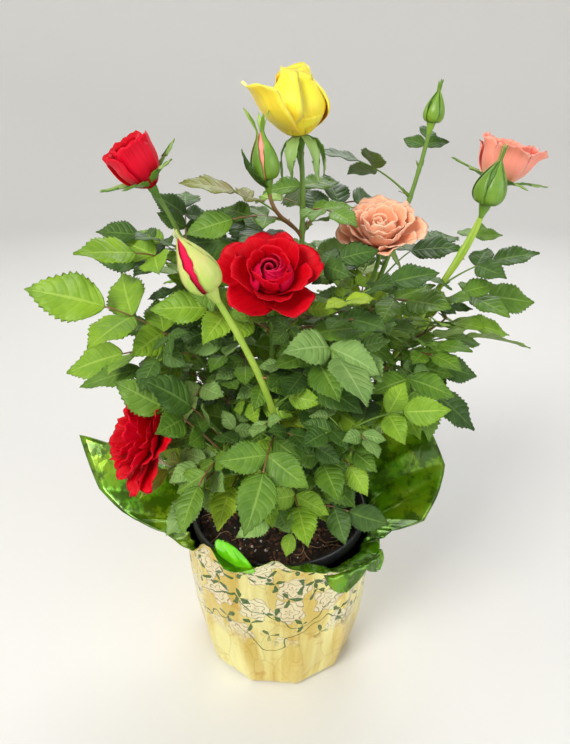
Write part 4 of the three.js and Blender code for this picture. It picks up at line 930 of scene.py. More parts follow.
def noise(tree, place, scale, detail, roughness=0.55):
    """Noise from 0 to 1 at a place."""
    inputs = {"Vector": place, "Scale": scale, "Detail": detail, "Roughness": roughness}
    return add_node(tree, "ShaderNodeTexNoise", inputs).outputs["Fac"]


def effect(name, **inputs):
    """A new node group with named inputs, each a number or a colour by its plain value. Gives the group and
    the sockets inside it to read from."""
    group = bpy.data.node_groups.new(name, "ShaderNodeTree")
    for key, value in inputs.items():
        kind = "NodeSocketColor" if isinstance(value, tuple) else "NodeSocketFloat"
        group.interface.new_socket(key, in_out="INPUT", socket_type=kind).default_value = value
    return group, add_node(group, "NodeGroupInput").outputs


def with_outputs(group, **outputs):
    """A node group with named outputs, of the kinds of what feeds them."""
    for key, source in outputs.items():
        kind = "NodeSocketColor" if source.type == "RGBA" else "NodeSocketFloat"
        group.interface.new_socket(key, in_out="OUTPUT", socket_type=kind)
    inside = add_node(group, "NodeGroupOutput").inputs
    for key, source in outputs.items():
        group.links.new(source, inside[key])
    return group


def placed(tree, group, inputs):
    """Places a node group in a material with its own values, and gives its outputs."""
    return add_node(tree, "ShaderNodeGroup", inputs, node_tree=group).outputs


def finish(name, **constants):
    """A new material with a Principled shader and plain values on its own sockets. Gives the material, its
    tree and the shader's inputs."""
    material = bpy.data.materials.new(name)
    material.use_nodes = True
    tree = material.node_tree
    shader = tree.nodes["Principled BSDF"]
    for key, value in constants.items():
        shader.inputs[key.replace("_", " ")].default_value = value
    return material, tree, shader.inputs


def bumped(tree, inputs, height, depth, strength):
    """Feeds a height, and its depth in metres, to the shader's normal by way of a Bump node."""
    values = {"Height": height, "Distance": depth, "Strength": strength}
    tree.links.new(add_node(tree, "ShaderNodeBump", values).outputs["Normal"], inputs["Normal"])


def map_place(tree):
    """The place on the piece's own map as u, v and whether it is the underside, by how far along u it is."""
    parts = parts_of(tree, add_node(tree, "ShaderNodeTexCoord").outputs["UV"])
    under = maths(tree, "GREATER_THAN", parts["X"], UNDER - 0.5)
    return maths(tree, "SUBTRACT", parts["X"], times(tree, under, UNDER)), parts["Y"], under


def off_middle(tree, u):
    """How far a place is from the map's middle line: 0 there and 1 at its sides."""
    return maths(tree, "ABSOLUTE", maths(tree, "SUBTRACT", times(tree, u, 2.0), 1.0))


def object_place(tree):
    """The place in the piece's own coordinates, in metres."""
    return add_node(tree, "ShaderNodeTexCoord").outputs["Object"]


def drawn_out(tree, u, v, across):
    """A place on the map with u drawn closer, so that what is drawn there runs along v."""
    return add_node(tree, "ShaderNodeCombineXYZ", {0: times(tree, u, across), 1: v}).outputs[0]


def make_leaf_veins():
    """Veins of a leaflet: a midrib where the map's middle is, side veins that slant towards the tip, and the
    blade swelling between them."""
    group, _ = effect("leaf veins")
    u, v, under = map_place(group)
    off = off_middle(group, u)
    midrib = ramp(group, off, 0.06, 0.02)
    slant = times(group, off, maths(group, "MULTIPLY_ADD", off, 0.7, 1.5))
    between = maths(group, "PINGPONG", maths(group, "SUBTRACT", times(group, v, 7.0), slant), 0.5)
    side = times(group, ramp(group, between, 0.06, 0.01), ramp(group, off, 0.95, 0.6))
    veins = maths(group, "MAXIMUM", midrib, times(group, side, 0.5))
    swell = times(group, ramp(group, between, 0.0, 0.32), maths(group, "SUBTRACT", 1.0, midrib))
    return with_outputs(group, veins=veins, height=swell, under=under)


def make_mottle():
    """Uneven colour: two sizes of noise that shade a colour towards another."""
    group, given = effect("mottle", base=(0, 0, 0, 1), other=(0, 0, 0, 1), scale=100.0, amount=0.5)
    place = object_place(group)
    broad = noise(group, place, given["scale"], 2.0)
    fine = noise(group, place, times(group, given["scale"], 6.0), 3.0)
    share = maths(group, "MULTIPLY_ADD", fine, 0.35, times(group, broad, 0.75))
    share = times(group, ramp(group, share, 0.36, 0.74), given["amount"])
    return with_outputs(group, colour=mixed(group, share, given["base"], given["other"]), fine=fine)


def make_petal_lines():
    """Fine lines that run up a petal, from noise drawn out along it, and how near its edge and its foot it
    is."""
    group, _ = effect("petal lines")
    u, v, under = map_place(group)
    lines = noise(group, drawn_out(group, u, v, 26.0), 1.6, 4.0, 0.6)
    edge = maths(group, "MAXIMUM", ramp(group, off_middle(group, u), 0.8, 1.0), ramp(group, v, 0.86, 1.0))
    return with_outputs(group, lines=lines, edge=edge, foot=ramp(group, v, 0.55, 0.1), under=under)


LEAF_VEINS = make_leaf_veins()
MOTTLE = make_mottle()
PETAL_LINES = make_petal_lines()


def leaf_finish(name, top, deep, under, vein, gloss=0.04, veined=1.0):
    """A leaflet: its top mottled between two greens, paler along the veins, and pale beneath, with a soft
    gloss. The veins show in colour and relief, in full or by a share."""
    material, tree, shader = finish(
        name, Roughness=0.5, Specular_IOR_Level=0.3, Coat_Weight=gloss, Coat_Roughness=0.3
    )
    veins = placed(tree, LEAF_VEINS, {})
    green = placed(tree, MOTTLE, dict(base=colour(*top), other=colour(*deep), scale=45.0, amount=0.8))
    shown = mixed(tree, times(tree, veins["veins"], 0.42 * veined), green["colour"], colour(*vein))
    shown = mixed(tree, times(tree, veins["under"], 0.75), shown, colour(*under))
    tree.links.new(shown, shader["Base Color"])
    tree.links.new(ramp(tree, green["fine"], 0.2, 0.8, 0.42, 0.6), shader["Roughness"])
    relief = maths(tree, "MULTIPLY_ADD", green["fine"], 0.25, veins["height"])
    bumped(tree, shader, relief, 0.0003 * veined, 0.8)
    return material


def petal_finish(name, inner, outer, foot, edge, sheen, glow, shine=0.4):
    """A petal: its inner and outer face in colours of their own, another towards the foot and along the edge,
    fine lines that run up it, and a soft, faintly glowing skin. The darker foot of the red, magenta and coral
    petals is painted shade deep in the bloom's heart; the yellow and pink feet are the petals' own base colour."""
    material, tree, shader = finish(
        name, Roughness=0.5, Specular_IOR_Level=shine, Sheen_Weight=sheen, Sheen_Roughness=0.4,
        Subsurface_Weight=glow, Subsurface_Scale=0.002
    )
    lines = placed(tree, PETAL_LINES, {})
    shown = mixed(tree, lines["under"], colour(*outer), colour(*inner))
    # Towards the foot: painted shade deep in the bloom for the red, magenta and coral petals, and the petals'
    # own base colour for the yellow and pink ones; the fine lines below take the same colour
    shown = mixed(tree, times(tree, lines["foot"], 0.8), shown, colour(*foot))
    shown = mixed(tree, times(tree, lines["edge"], 0.35), shown, colour(*edge))
    shown = mixed(tree, ramp(tree, lines["lines"], 0.55, 0.3, 0.0, 0.45), shown, colour(*foot))
    tree.links.new(shown, shader["Base Color"])
    bumped(tree, shader, lines["lines"], 0.0003, 0.5)
    return material


def stem_finish(name, green, other, amount=0.7, roughness=0.42):
    """A stem: one colour mottled with another, with fine lengthwise ribs from noise stretched along it."""
    material, tree, shader = finish(name, Roughness=roughness, Coat_Weight=0.1, Coat_Roughness=0.3)
    skin = placed(tree, MOTTLE, dict(base=colour(*green), other=colour(*other), scale=70.0, amount=amount))
    tree.links.new(skin["colour"], shader["Base Color"])
    u, v, _ = map_place(tree)
    bumped(tree, shader, noise(tree, drawn_out(tree, u, v, 9.0), 2.0, 3.0), 0.0002, 0.6)
    return material


def vector_maths(tree, operation, *values):
    """The output of a Vector Math node on up to three values."""
    return add_node(tree, "ShaderNodeVectorMath", dict(enumerate(values)), operation=operation).outputs[0]


def bent(tree, place, scale, amount):
    """A place pushed about by soft noise, so that what is drawn there doesn't run true."""
    values = {"Vector": place, "Scale": scale, "Detail": 2.0}
    push = add_node(tree, "ShaderNodeTexNoise", values).outputs["Color"]
    return vector_maths(tree, "MULTIPLY_ADD", push, (amount, amount, amount), place)


def make_motif():
    """The place within a cell of a loose net on the map: how far it is from the cell's middle, its angle
    there turned by the cell's own number, and that number."""
    group, given = effect("print motif", scale=1.0, shift=0.0)
    uv = add_node(group, "ShaderNodeTexCoord").outputs["UV"]
    shift = add_node(group, "ShaderNodeCombineXYZ", {0: given["shift"]}).outputs[0]
    place = bent(group, vector_maths(group, "ADD", uv, shift), 1.3, 0.55)
    values = {"Vector": place, "Scale": given["scale"], "Randomness": 0.75}
    cells = add_node(group, "ShaderNodeTexVoronoi", values, voronoi_dimensions="2D").outputs
    x, y = parts_of(group, vector_maths(group, "SUBTRACT", place, cells["Position"]))[:2]
    number = parts_of(group, cells["Color"])["X"]
    reach = maths(group, "SQRT", maths(group, "ADD", times(group, x, x), times(group, y, y)))
    angle = maths(group, "MULTIPLY_ADD", number, 2 * math.pi, maths(group, "ARCTAN2", y, x))
    return with_outputs(group, reach=reach, angle=angle, number=number)


def make_crinkle():
    """Crinkled foil: sharp creases between small flats, from the distance to the edges of irregular cells in
    two sizes, drawn out upright. Also where the creases are, for painted shade along them, and a tone of its
    own for each flat, for a painted reflection of the light that the flat would mirror."""
    group, given = effect("crinkle", scale=100.0)
    values = {"Vector": object_place(group), "Scale": (1.0, 1.0, 0.38)}
    place = bent(group, add_node(group, "ShaderNodeMapping", values).outputs[0], 40.0, 0.016)
    heights = []
    for size in (1.0, 2.7):
        values = {"Vector": place, "Scale": times(group, given["scale"], size)}
        cells = add_node(group, "ShaderNodeTexVoronoi", values, feature="DISTANCE_TO_EDGE").outputs["Distance"]
        heights.append(times(group, cells, 1 / size))
    values = {"Vector": place, "Scale": given["scale"]}
    tone = add_node(group, "ShaderNodeTexVoronoi", values, feature="SMOOTH_F1").outputs["Color"]
    return with_outputs(
        group, height=maths(group, "ADD", *heights), creases=ramp(group, heights[0], 0.03, 0.0),
        catch=parts_of(group, tone)["X"]
    )


MOTIF = make_motif()
CRINKLE = make_crinkle()


def printed_blossoms(tree, upper):
    """Pale blossoms with five lobes: where they are, and where brown lines are drawn round them and curl in
    them."""
    blossom = placed(tree, MOTIF, dict(scale=0.36, shift=0.0))
    lobes = maths(tree, "COSINE", times(tree, blossom["angle"], 5.0))
    apart = maths(tree, "SUBTRACT", blossom["reach"], maths(tree, "MULTIPLY_ADD", lobes, 0.15, 1.02))
    inside = times(tree, ramp(tree, apart, 0.04, -0.04), upper)
    swirl = maths(tree, "MULTIPLY_ADD", blossom["reach"], 15.0, times(tree, lobes, 1.8))
    curls = ramp(tree, maths(tree, "SINE", swirl), 0.75, 0.98)
    rim = ramp(tree, maths(tree, "ABSOLUTE", apart), 0.06, 0.02)
    return inside, times(tree, maths(tree, "MAXIMUM", curls, rim), inside)


def printed_greens(tree, uv, around, height, upper):
    """Small sprigs with three lobes, left out of some cells, and two thin stems that wind round the foil."""
    sprig = placed(tree, MOTIF, dict(scale=0.62, shift=7.3))
    lobe = maths(tree, "MAXIMUM", maths(tree, "COSINE", times(tree, sprig["angle"], 3.0)), 0.0)
    leaf = ramp(tree, maths(tree, "SUBTRACT", sprig["reach"], times(tree, lobe, 0.74)), 0.03, -0.03)
    leaf = times(tree, leaf, maths(tree, "GREATER_THAN", sprig["number"], 0.3))
    winding = noise(tree, uv, 0.5, 1.0)
    stems = []
    for middle, reach, speed in ((6.6, 0.9, 0.9), (8.9, 1.1, 0.7)):
        wave = maths(tree, "SINE", maths(tree, "MULTIPLY_ADD", around, speed, middle))
        line = maths(tree, "MULTIPLY_ADD", wave, reach, maths(tree, "MULTIPLY_ADD", winding, 3.0, middle - 1.5))
        stems.append(ramp(tree, maths(tree, "ABSOLUTE", maths(tree, "SUBTRACT", height, line)), 0.07, 0.03))
    return maths(tree, "MAXIMUM", times(tree, leaf, upper), maths(tree, "MAXIMUM", *stems))


def gold_foil_finish(name):
    """Metallised gold foil with a faded print of common motifs in its upper half: pale blossoms with brown
    lines, dark green sprigs and thin winding stems. Below it has only tan blots. All over it, the creases are
    painted darker brown as painted shade, and each flat's own tone and upright streak marks make the gold
    lighter or darker as a painted reflection. The map is in centimetres round the foil and up it."""
    material, tree, shader = finish(name, Metallic=0.85, Roughness=0.3)
    uv = add_node(tree, "ShaderNodeTexCoord").outputs["UV"]
    around, height = parts_of(tree, uv)[:2]
    upper = ramp(tree, height, 5.2, 7.2)
    inside, drawn = printed_blossoms(tree, upper)
    green = printed_greens(tree, uv, around, height, upper)
    crinkle = placed(tree, CRINKLE, dict(scale=60.0))
    upright = add_node(tree, "ShaderNodeMapping", {"Vector": uv, "Scale": (1.0, 0.1, 1.0)}).outputs[0]
    streak_relief_and_reflection = noise(tree, bent(tree, upright, 0.6, 0.9), 1.1, 3.0, 0.55)
    # Painted reflection: each flat's own tone and upright streak marks make the gold lighter or darker,
    # standing in for the light that the crinkled metal would mirror
    light = maths(tree, "MULTIPLY_ADD", crinkle["catch"], 0.35, times(tree, streak_relief_and_reflection, 0.8))
    blots = ramp(tree, noise(tree, uv, 0.7, 5.0, 0.65), 0.57, 0.66)
    shown = mixed(tree, ramp(tree, light, 0.36, 0.78), colour(226, 200, 108), colour(255, 250, 178))
    # Painted shade: the creases are drawn darker brown as shade in the folds; the tan blots, pale blossoms,
    # brown lines and green sprigs are the foil's own blots and print
    layers = ((crinkle["creases"], 0.26, (150, 122, 60)), (blots, 0.5, (210, 160, 66)),
              (inside, 0.6, (236, 230, 210)), (drawn, 0.75, (120, 98, 58)), (green, 0.92, (44, 88, 30)))
    for where, share, shade in layers:
        shown = mixed(tree, times(tree, where, share), shown, colour(*shade))
    tree.links.new(shown, shader["Base Color"])
    printed = maths(tree, "MAXIMUM", green, times(tree, inside, 0.55))
    tree.links.new(maths(tree, "MULTIPLY_ADD", printed, -0.6, 0.92), shader["Metallic"])
    tone = noise(tree, object_place(tree), 30.0, 3.0)
    tree.links.new(ramp(tree, tone, 0.3, 0.7, 0.12, 0.25), shader["Roughness"])
    bumped(tree, shader, maths(tree, "MULTIPLY_ADD", streak_relief_and_reflection, 0.25, crinkle["height"]), 0.0028, 0.6)
    return material


def green_foil_finish(name, base, other, shade, metal):
    """The foil's inside: a clear film on metal, mottled between two greens, with clouds of a darker shade."""
    material, tree, shader = finish(name, Metallic=metal, Roughness=0.22, Coat_Weight=0.3, Coat_Roughness=0.1)
    green = placed(tree, MOTTLE, dict(base=colour(*base), other=colour(*other), scale=24.0, amount=0.8))
    clouds = noise(tree, object_place(tree), 60.0, 5.0, 0.68)
    shown = mixed(tree, ramp(tree, clouds, 0.46, 0.58, 0.0, 0.9), green["colour"], colour(*shade))
    tree.links.new(shown, shader["Base Color"])
    crinkle = placed(tree, CRINKLE, dict(scale=45.0))
    bumped(tree, shader, crinkle["height"], 0.0014, 0.5)
    return material


def pot_finish(name):
    """Thin black moulded plastic with a faint grain and dust in it."""
    material, tree, shader = finish(name, Roughness=0.38, Specular_IOR_Level=0.5)
    skin = placed(tree, MOTTLE, dict(base=colour(26, 27, 28), other=colour(48, 45, 40), scale=90.0, amount=0.6))
    tree.links.new(skin["colour"], shader["Base Color"])
    tree.links.new(ramp(tree, skin["fine"], 0.3, 0.7, 0.3, 0.5), shader["Roughness"])
    bumped(tree, shader, skin["fine"], 0.0001, 0.4)
    return material


def earth_finish(name, base, other, grain=420.0, depth=0.0009, roughness=0.92):
    """Soil, bark or grit: a mottled colour and a coarse grain."""
    material, tree, shader = finish(name, Roughness=roughness)
    skin = placed(tree, MOTTLE, dict(base=colour(*base), other=colour(*other), scale=160.0, amount=0.9))
    tree.links.new(skin["colour"], shader["Base Color"])
    bumped(tree, shader, noise(tree, object_place(tree), grain, 5.0, 0.7), depth, 0.9)
    return material


GOLD_FOIL = gold_foil_finish("gold foil")
GREEN_FOIL = green_foil_finish("green film", (88, 158, 8), (138, 160, 12), (58, 92, 4), 0.45)
# Painted light: the same green film as above, drawn lighter lime and less metallic for the front-left corner,
# where the light falls on it
PAINTED_LIT_FILM = green_foil_finish("green film painted lit", (120, 222, 20), (132, 226, 30), (100, 204, 14), 0.1)
BLACK_PLASTIC = pot_finish("black plastic")
PEAT = earth_finish("peat", (30, 22, 16), (58, 40, 28))
BARK = earth_finish("bark bits", (74, 46, 30), (122, 82, 54), 300.0, 0.0005)
PERLITE = earth_finish("perlite", (226, 222, 210), (190, 184, 170), 500.0, 0.0003)
ROOTLET = earth_finish("rootlets", (176, 140, 98), (120, 88, 56), 500.0, 0.0002, 0.7)

# Leaf greens: the top's two greens, the underside and the veins. Beside the leaves' own range of greens,
# the dark tint also serves as painted shade for leaves that lie in shadow, and the grey tint is lightened as
# painted light for leaves that the light falls on
LEAF_TINTS = dict(
    dark=((70, 104, 32), (42, 74, 22), (118, 146, 78), (120, 156, 70)),
    mid=((100, 138, 38), (66, 104, 28), (138, 166, 86), (150, 182, 80)),
    fresh=((134, 172, 40), (98, 140, 32), (164, 188, 90), (178, 206, 86)),
    bright=((160, 188, 44), (130, 162, 36), (188, 204, 100), (198, 216, 98)),
    grey=((134, 168, 88), (98, 136, 64), (164, 188, 122), (176, 204, 130)),
    bronze=((112, 130, 44), (120, 100, 42), (142, 142, 78), (154, 154, 74)),
)
LEAF_FINISHES = [leaf_finish(f"leaf {name}", *tints) for name, tints in LEAF_TINTS.items()]
TINT_NUMBER = {name: number for number, name in enumerate(LEAF_TINTS)}

STEM_FINISHES = [
    stem_finish("stem green", (112, 148, 50), (86, 120, 44)),
    stem_finish("stem young", (146, 184, 52), (176, 200, 78)),
    stem_finish("stem ruddy", (128, 104, 58), (120, 62, 44)),
]
CANE_FINISH = stem_finish("cane", (112, 134, 54), (122, 96, 56), 0.9, 0.5)
PRICKLE_FINISH = stem_finish("prickle", (168, 140, 84), (150, 84, 56))
SEPAL_FINISH = leaf_finish("sepal", (104, 146, 54), (76, 116, 42), (150, 180, 104), (142, 178, 86), 0.1, 0.2)
BUD_FINISH = leaf_finish("bud sepal", (124, 164, 40), (84, 126, 34), (156, 186, 90), (160, 192, 84), 0.5, 0.2)
PALE_SEPAL_FINISH = leaf_finish(
    "pale sepal", (164, 202, 76), (214, 202, 128), (206, 214, 150), (206, 220, 130), 0.4, 0.2
)
CREAM_CALYX_FINISH = leaf_finish(
    "cream calyx", (178, 188, 132), (206, 206, 160), (206, 208, 168), (196, 206, 140), 0.1, 0.2
)

# Petals: inner face, outer face, foot and edge. The red, magenta and coral feet are darker as painted shade
# in the bloom's heart, and the magenta is kept deep partly as painted shade for the split bud's heart,
# which lies inside its slit
PETAL_FINISHES = dict(
    yellow=petal_finish("yellow petal", (253, 222, 44), (254, 230, 62), (240, 196, 24), (255, 240, 116), 0.1,
                        0.25),
    red=petal_finish("red petal", (204, 0, 22), (226, 4, 42), (148, 0, 14), (226, 6, 38), 0.01, 0.1, 0.15),
    magenta=petal_finish("magenta petal", (200, 2, 54), (218, 10, 70), (140, 4, 30), (230, 30, 88), 0.02, 0.1,
                         0.2),
    pink=petal_finish("pink petal", (249, 124, 108), (250, 148, 130), (249, 176, 130), (252, 184, 164), 0.15,
                      0.2),
    coral=petal_finish("coral petal", (255, 184, 146), (255, 214, 180), (255, 158, 118), (255, 222, 192), 0.3,
                       0.05),
)


# The foil cover
SHEET_GAP = 0.4  # between the foil's outside and inside
FOIL_MAP_RADIUS = 6.2  # in centimetres, round which the map is drawn
ROUND = 480  # columns round the foil
DRUM_ROWS = 51
SKIRT_ROWS = 30
# Flats round the drum: the angle of each, and its distance by the radius
FACETS = ((4, 1.002), (37, 0.994), (70, 1.004), (104, 0.996), (139, 0.998), (172, 0.992), (203, 1.0),
          (234, 0.996), (266, 0.992), (298, 1.0), (331, 0.998))
CORNER = 1.04  # the furthest that a corner between two flats stands, by the radius
BULGE = 1.8  # how far the drum's middle stands out
# Creases: waves round, waves in 100 mm up, shift, and depth
CREASES = ((7, 1.1, 0.1, 0.9), (11, -1.7, 0.4, 0.8), (17, 1.3, 0.7, 0.6), (23, -1.1, 0.2, 0.5),
           (31, 0.6, 0.9, 0.35), (13, 3.0, 0.5, 0.3), (41, -0.7, 0.3, 0.25))
GATHERS = 26
# Skirt folds: the angle at the rim, the angle at the edge, and how far the fold stands out
FOLDS = ((350, 6, 3.0), (14, 16, -2.4), (40, 34, 2.6), (64, 70, -2.6), (92, 90, 2.2), (120, 124, -2.4),
         (150, 160, 2.6), (168, 170, -2.8), (196, 186, 2.2), (222, 224, -1.2), (262, 258, 1.0),
         (300, 304, -1.2), (330, 336, 1.6))
# The edge raised before the pot: its angles, how far it goes up, and how far its last part turns down and out
LIP = dict(first=218, last=303, fade=14, rise=9, drop=2, out=6.5, turned=246)


def angle_apart(angle, other):
    """How far two compass angles are apart, from 0 to 180."""
    return np.abs((angle - other + 180) % 360 - 180)


def foil_rows(angle):
    """The foil's profile at each angle, from the middle of its underside up the drum to the skirt's edge: how
    far out and up each row is, and how far along the skirt."""
    base = np.array([0, 18, 34, 44])
    corner = np.linspace(0, 1, 8)
    corner_out = ((1 - corner) ** 2 * FOIL["base_radius"] + 2 * (1 - corner) * corner * FOIL["corner_radius"]
                  + corner**2 * FOIL["belly_radius"])
    corner_up = corner**2 * FOIL["belly_height"]
    rise = np.linspace(0, 1, DRUM_ROWS + 1)[1:]
    drum_out = FOIL["belly_radius"] + (FOIL["rim_radius"] - FOIL["belly_radius"]) * rise
    drum_up = FOIL["belly_height"] + (FOIL["rim_height"] - FOIL["belly_height"]) * rise
    lower_out = np.concatenate([base, corner_out, drum_out])[:, None] + 0 * angle
    lower_up = np.concatenate([0 * base, corner_up, drum_up])[:, None] + 0 * angle
    shares = np.linspace(0, 1, SKIRT_ROWS + 1)[1:, None]
    skirt_out, skirt_up = skirt_rows(angle[None], shares)
    along = np.concatenate([np.zeros((len(lower_out), 1)), shares])
    return np.concatenate([lower_out, skirt_out]), np.concatenate([lower_up, skirt_up]), along


def foil_relief(angle, out, up, along):
    """How far the foil stands out of its profile: flats round the drum, a bulge, creases of triangle waves
    all over, narrow gathers under the rim, and long folds up the skirt."""
    flat = np.full_like(out, CORNER)
    for facing, distance in FACETS:
        apart = np.minimum(angle_apart(angle, facing), 60)
        flat = np.minimum(flat, distance / np.cos(np.radians(apart)))
    relief = (flat - 1) * out * (1 - 0.7 * smooth_step(30, 112, up))
    relief = relief + BULGE * smooth_step(2, 36, up) * smooth_step(FOIL["rim_height"], 80, up) * (along == 0)
    creased = np.zeros_like(out)
    for waves, rising, shift, depth in CREASES:
        turns = waves * angle / 360 + rising * up / 100 + shift
        creased = creased + depth * (2 * np.abs(turns - np.round(turns)) - 0.5)
    relief = relief + creased * (0.6 + 0.8 * smooth_step(60, 112, up)) * smooth_step(0, 8, up)
    for i in range(GATHERS):
        where = 360 * (i + 0.7 * chance(3, i)) / GATHERS
        depth = 0.9 + 1.9 * chance(5, i)
        slant = 0.06 * (up - FOIL["rim_height"]) * (chance(7, i) - 0.5)
        narrow = np.exp(-angle_apart(angle, where + slant) / 1.6)
        relief = relief - depth * narrow * smooth_step(62, 110, up) * (1 - smooth_step(0.05, 0.5, along))
    for at_rim, at_edge, height in FOLDS:
        turn = (at_edge - at_rim + 180) % 360 - 180
        where = at_rim + turn * along
        relief = relief + height * np.exp(-angle_apart(angle, where) / 5) * smooth_step(0.0, 0.5, along)
    return relief


def lip_raised(angle, out, up, along):
    """The profile with its edge raised before the pot: it goes up, and where a wave round it is high its last
    part turns out and a little down."""
    first, last, fade = LIP["first"], LIP["last"], LIP["fade"]
    share = smooth_step(first, first + fade, angle) * smooth_step(last, last - fade, angle)
    wave = np.cos(np.radians(9 * (angle - LIP["turned"])))
    height = LIP["rise"] * (1 - 0.16 * wave + 0.08 * np.sin(np.radians(23 * angle)))
    turned_out = smooth_step(0.6, 1, along) * (0.55 + 0.45 * wave)
    up = up + share * (height * smooth_step(0, 0.75, along) - LIP["drop"] * turned_out)
    return out + share * LIP["out"] * turned_out, up


def foil_skin():
    """The foil's outer face, its profile pushed along its normal by the relief, and its inner face, the same
    moved inwards by the sheet's thickness."""
    angle = 90 + np.arange(ROUND) * 360 / ROUND
    out, up, along = foil_rows(angle)
    out, up = lip_raised(angle[None], out, up, along)
    steps_out, steps_up = np.gradient(out, axis=0), np.gradient(up, axis=0)
    length = np.hypot(steps_out, steps_up)
    normal_out, normal_up = steps_up / length, -steps_out / length
    relief = foil_relief(angle[None], out, up, along)
    out, up = out + relief * normal_out, up + relief * normal_up
    flat = np.arange(len(out))[:, None] < 4
    up = np.where(flat, 0, np.maximum(up, 0))
    inner = (out - SHEET_GAP * normal_out)[:-1], (up - SHEET_GAP * normal_up)[:-1]
    return angle, np.concatenate([out, inner[0][::-1]]), np.concatenate([up, inner[1][::-1]])


# Corners of the sheet that stand up from the edge or fold out over it: angle, half width in degrees, how far
# up it goes before it turns, how far it hangs down, how far its tip leans to one side in degrees, and its
# finish
# Finish 2, on the front-left corner, is the green film painted lighter as painted light; finish 1 is the plain
# green film
FLAPS = ((248, 11, 24, 0, -4, 2), (306, 13, 3, 13, -4, 1), (318, 8, 3, 9, 3, 1))


def flap_surface(facing, half, rise, reach, lean):
    """A corner of the sheet at the skirt's edge: it goes up by half a sine, turns outwards, hangs down by its
    reach, and narrows to its tip. One that doesn't hang goes up by a quarter sine."""
    u, v = sheet_grid(14, 17)
    angle = facing + u * half * (1 - 0.88 * v**2) + lean * v
    radius, height = skirt_edge(angle)
    out = radius - 1.2 + 4.4 * np.sin(np.minimum(v * 2.6, np.pi / 2)) + 0.8 * np.sin(9 * u + 3 * v) * v
    turn = 1.5 if reach else 0.5
    up = height - 1 + rise * np.sin(np.pi * np.minimum(v * turn, 1)) - reach * v**1.4
    return ring_point(angle, out, up)


def make_foil():
    """The foil cover in one piece: gold outside, green inside, with the folded corners."""
    angle, out, up = foil_skin()
    points, [(index, uv)] = turned(out, up, angle)
    rows = (len(out) + 1) // 2
    length = np.concatenate([[0], np.cumsum(np.hypot(np.diff(out[:, 0]), np.diff(up[:, 0])))])
    around = uv[..., 0] * 2 * np.pi * FOIL_MAP_RADIUS
    uv = np.stack(np.broadcast_arrays(around, (length[:, None] - FOIL["base_radius"]) / 10), axis=-1)
    skin = Surface()
    skin.add(points, [(index[:rows], uv[:rows]), (index[rows - 1:], uv[rows - 1:])], (0, 1))
    for *flap, finish_number in FLAPS:
        points, patches = sheet(flap_surface(*flap), SHEET_GAP)
        skin.add(points, patches, finish_number)
    skin.piece("foil_sheet", [GOLD_FOIL, GREEN_FOIL, PAINTED_LIT_FILM], "foil", ["foil_cover"])


# The nursery pot and the soil
POT_OUTLINE = ((0, 1.3), (44.8, 1.3), (45.8, 1.8), (46.1, 2.6), (52, 55), (58.7, 113), (59.4, 113.8),
               (61.4, 114.1), (62, 114.8), (62.1, 121.8), (61.6, 122.8), (60.9, 123), (60.3, 122.6),
               (60.1, 121.8), (58.4, 116), (57.2, 112), (50.4, 55), (44.6, 3.4), (44, 2.9), (0, 2.9))


def make_pot():
    """The nursery pot, turned from its outline."""
    skin = Surface()
    skin.add(*lathed(*np.array(POT_OUTLINE, float).T, 160))
    skin.piece("nursery_pot_shell", [BLACK_PLASTIC], "pot", ["nursery_pot"])


SOIL_RADIUS = 56.4
SOIL_RINGS = 64
SOIL_SIDE = ((0, 3.3), (43, 3.3), (43.4, 4), (50, 55), (55.4, 104))  # how far out and up its rows are
LITTER = dict(chips=520, grains=110, roots=30)


def soil_height(x, y):
    """The soil's top: its level with clods of three sizes, a little lower along the pot."""
    clods = 3.2 * (value_noise(x / 8 + 40, y / 8 + 40, 11) - 0.5)
    clods = clods + 1.9 * (value_noise(x / 3 + 90, y / 3 + 90, 12) - 0.5)
    crumbs = 0.9 * (value_noise(x / 1.3 + 90, y / 1.3 + 90, 13) - 0.5)
    return SOIL_LEVEL + clods + crumbs - 2.5 * smooth_step(44, 57, np.hypot(x, y))


def make_soil():
    """The soil: its side follows the pot's wall, and its top is a disc of rings raised by the clods."""
    angle = np.arange(240) * 360 / 240
    ones = np.ones(len(angle))
    side_out, side_up = np.array(SOIL_SIDE)[:, :, None].transpose(1, 0, 2) * ones
    top = np.linspace(SOIL_RADIUS, 0, SOIL_RINGS)[:, None] * ones
    way = compass(angle)
    height = soil_height(top * way[:, 0], top * way[:, 1])
    skin = Surface()
    skin.add(*turned(np.concatenate([side_out, top]), np.concatenate([side_up, height]), angle))
    skin.piece("soil", [PEAT], "soil", ["potting_soil"])


def random_turns(rng, count):
    """Random turns as matrices, from random quaternions."""
    w, x, y, z = unit(rng.normal(size=(count, 4))).T
    rows = [
        [1 - 2 * (y * y + z * z), 2 * (x * y - z * w), 2 * (x * z + y * w)],
        [2 * (x * y + z * w), 1 - 2 * (x * x + z * z), 2 * (y * z - x * w)],
        [2 * (x * z - y * w), 2 * (y * z + x * w), 1 - 2 * (x * x + y * y)],
    ]
    return np.moveaxis(np.array(rows), -1, 0)


def lumps(rng, centres, sizes, rough):
    """Small stones or chips: balls made uneven, stretched to their sizes and turned at random."""
    count = len(centres)
    tilt = np.linspace(-np.pi / 2, np.pi / 2, 5 + 2)
    ball, patches = lathed(np.cos(tilt), np.sin(tilt), 7)
    uneven = 1 + rough * rng.uniform(-1, 1, (count, len(ball), 1))
    shaped = ball[None] * uneven * sizes[:, None] / 2
    return np.einsum("cij,cpj->cpi", random_turns(rng, count), shaped) + centres[:, None], patches


def scatter(rng, count, reach=54):
    """Random places on the soil's top, even over its disc."""
    radius = reach * np.sqrt(rng.uniform(0, 1, count))
    angle = rng.uniform(0, 2 * np.pi, count)
    x, y = radius * np.cos(angle), radius * np.sin(angle)
    return np.stack([x, y, soil_height(x, y)], axis=-1)


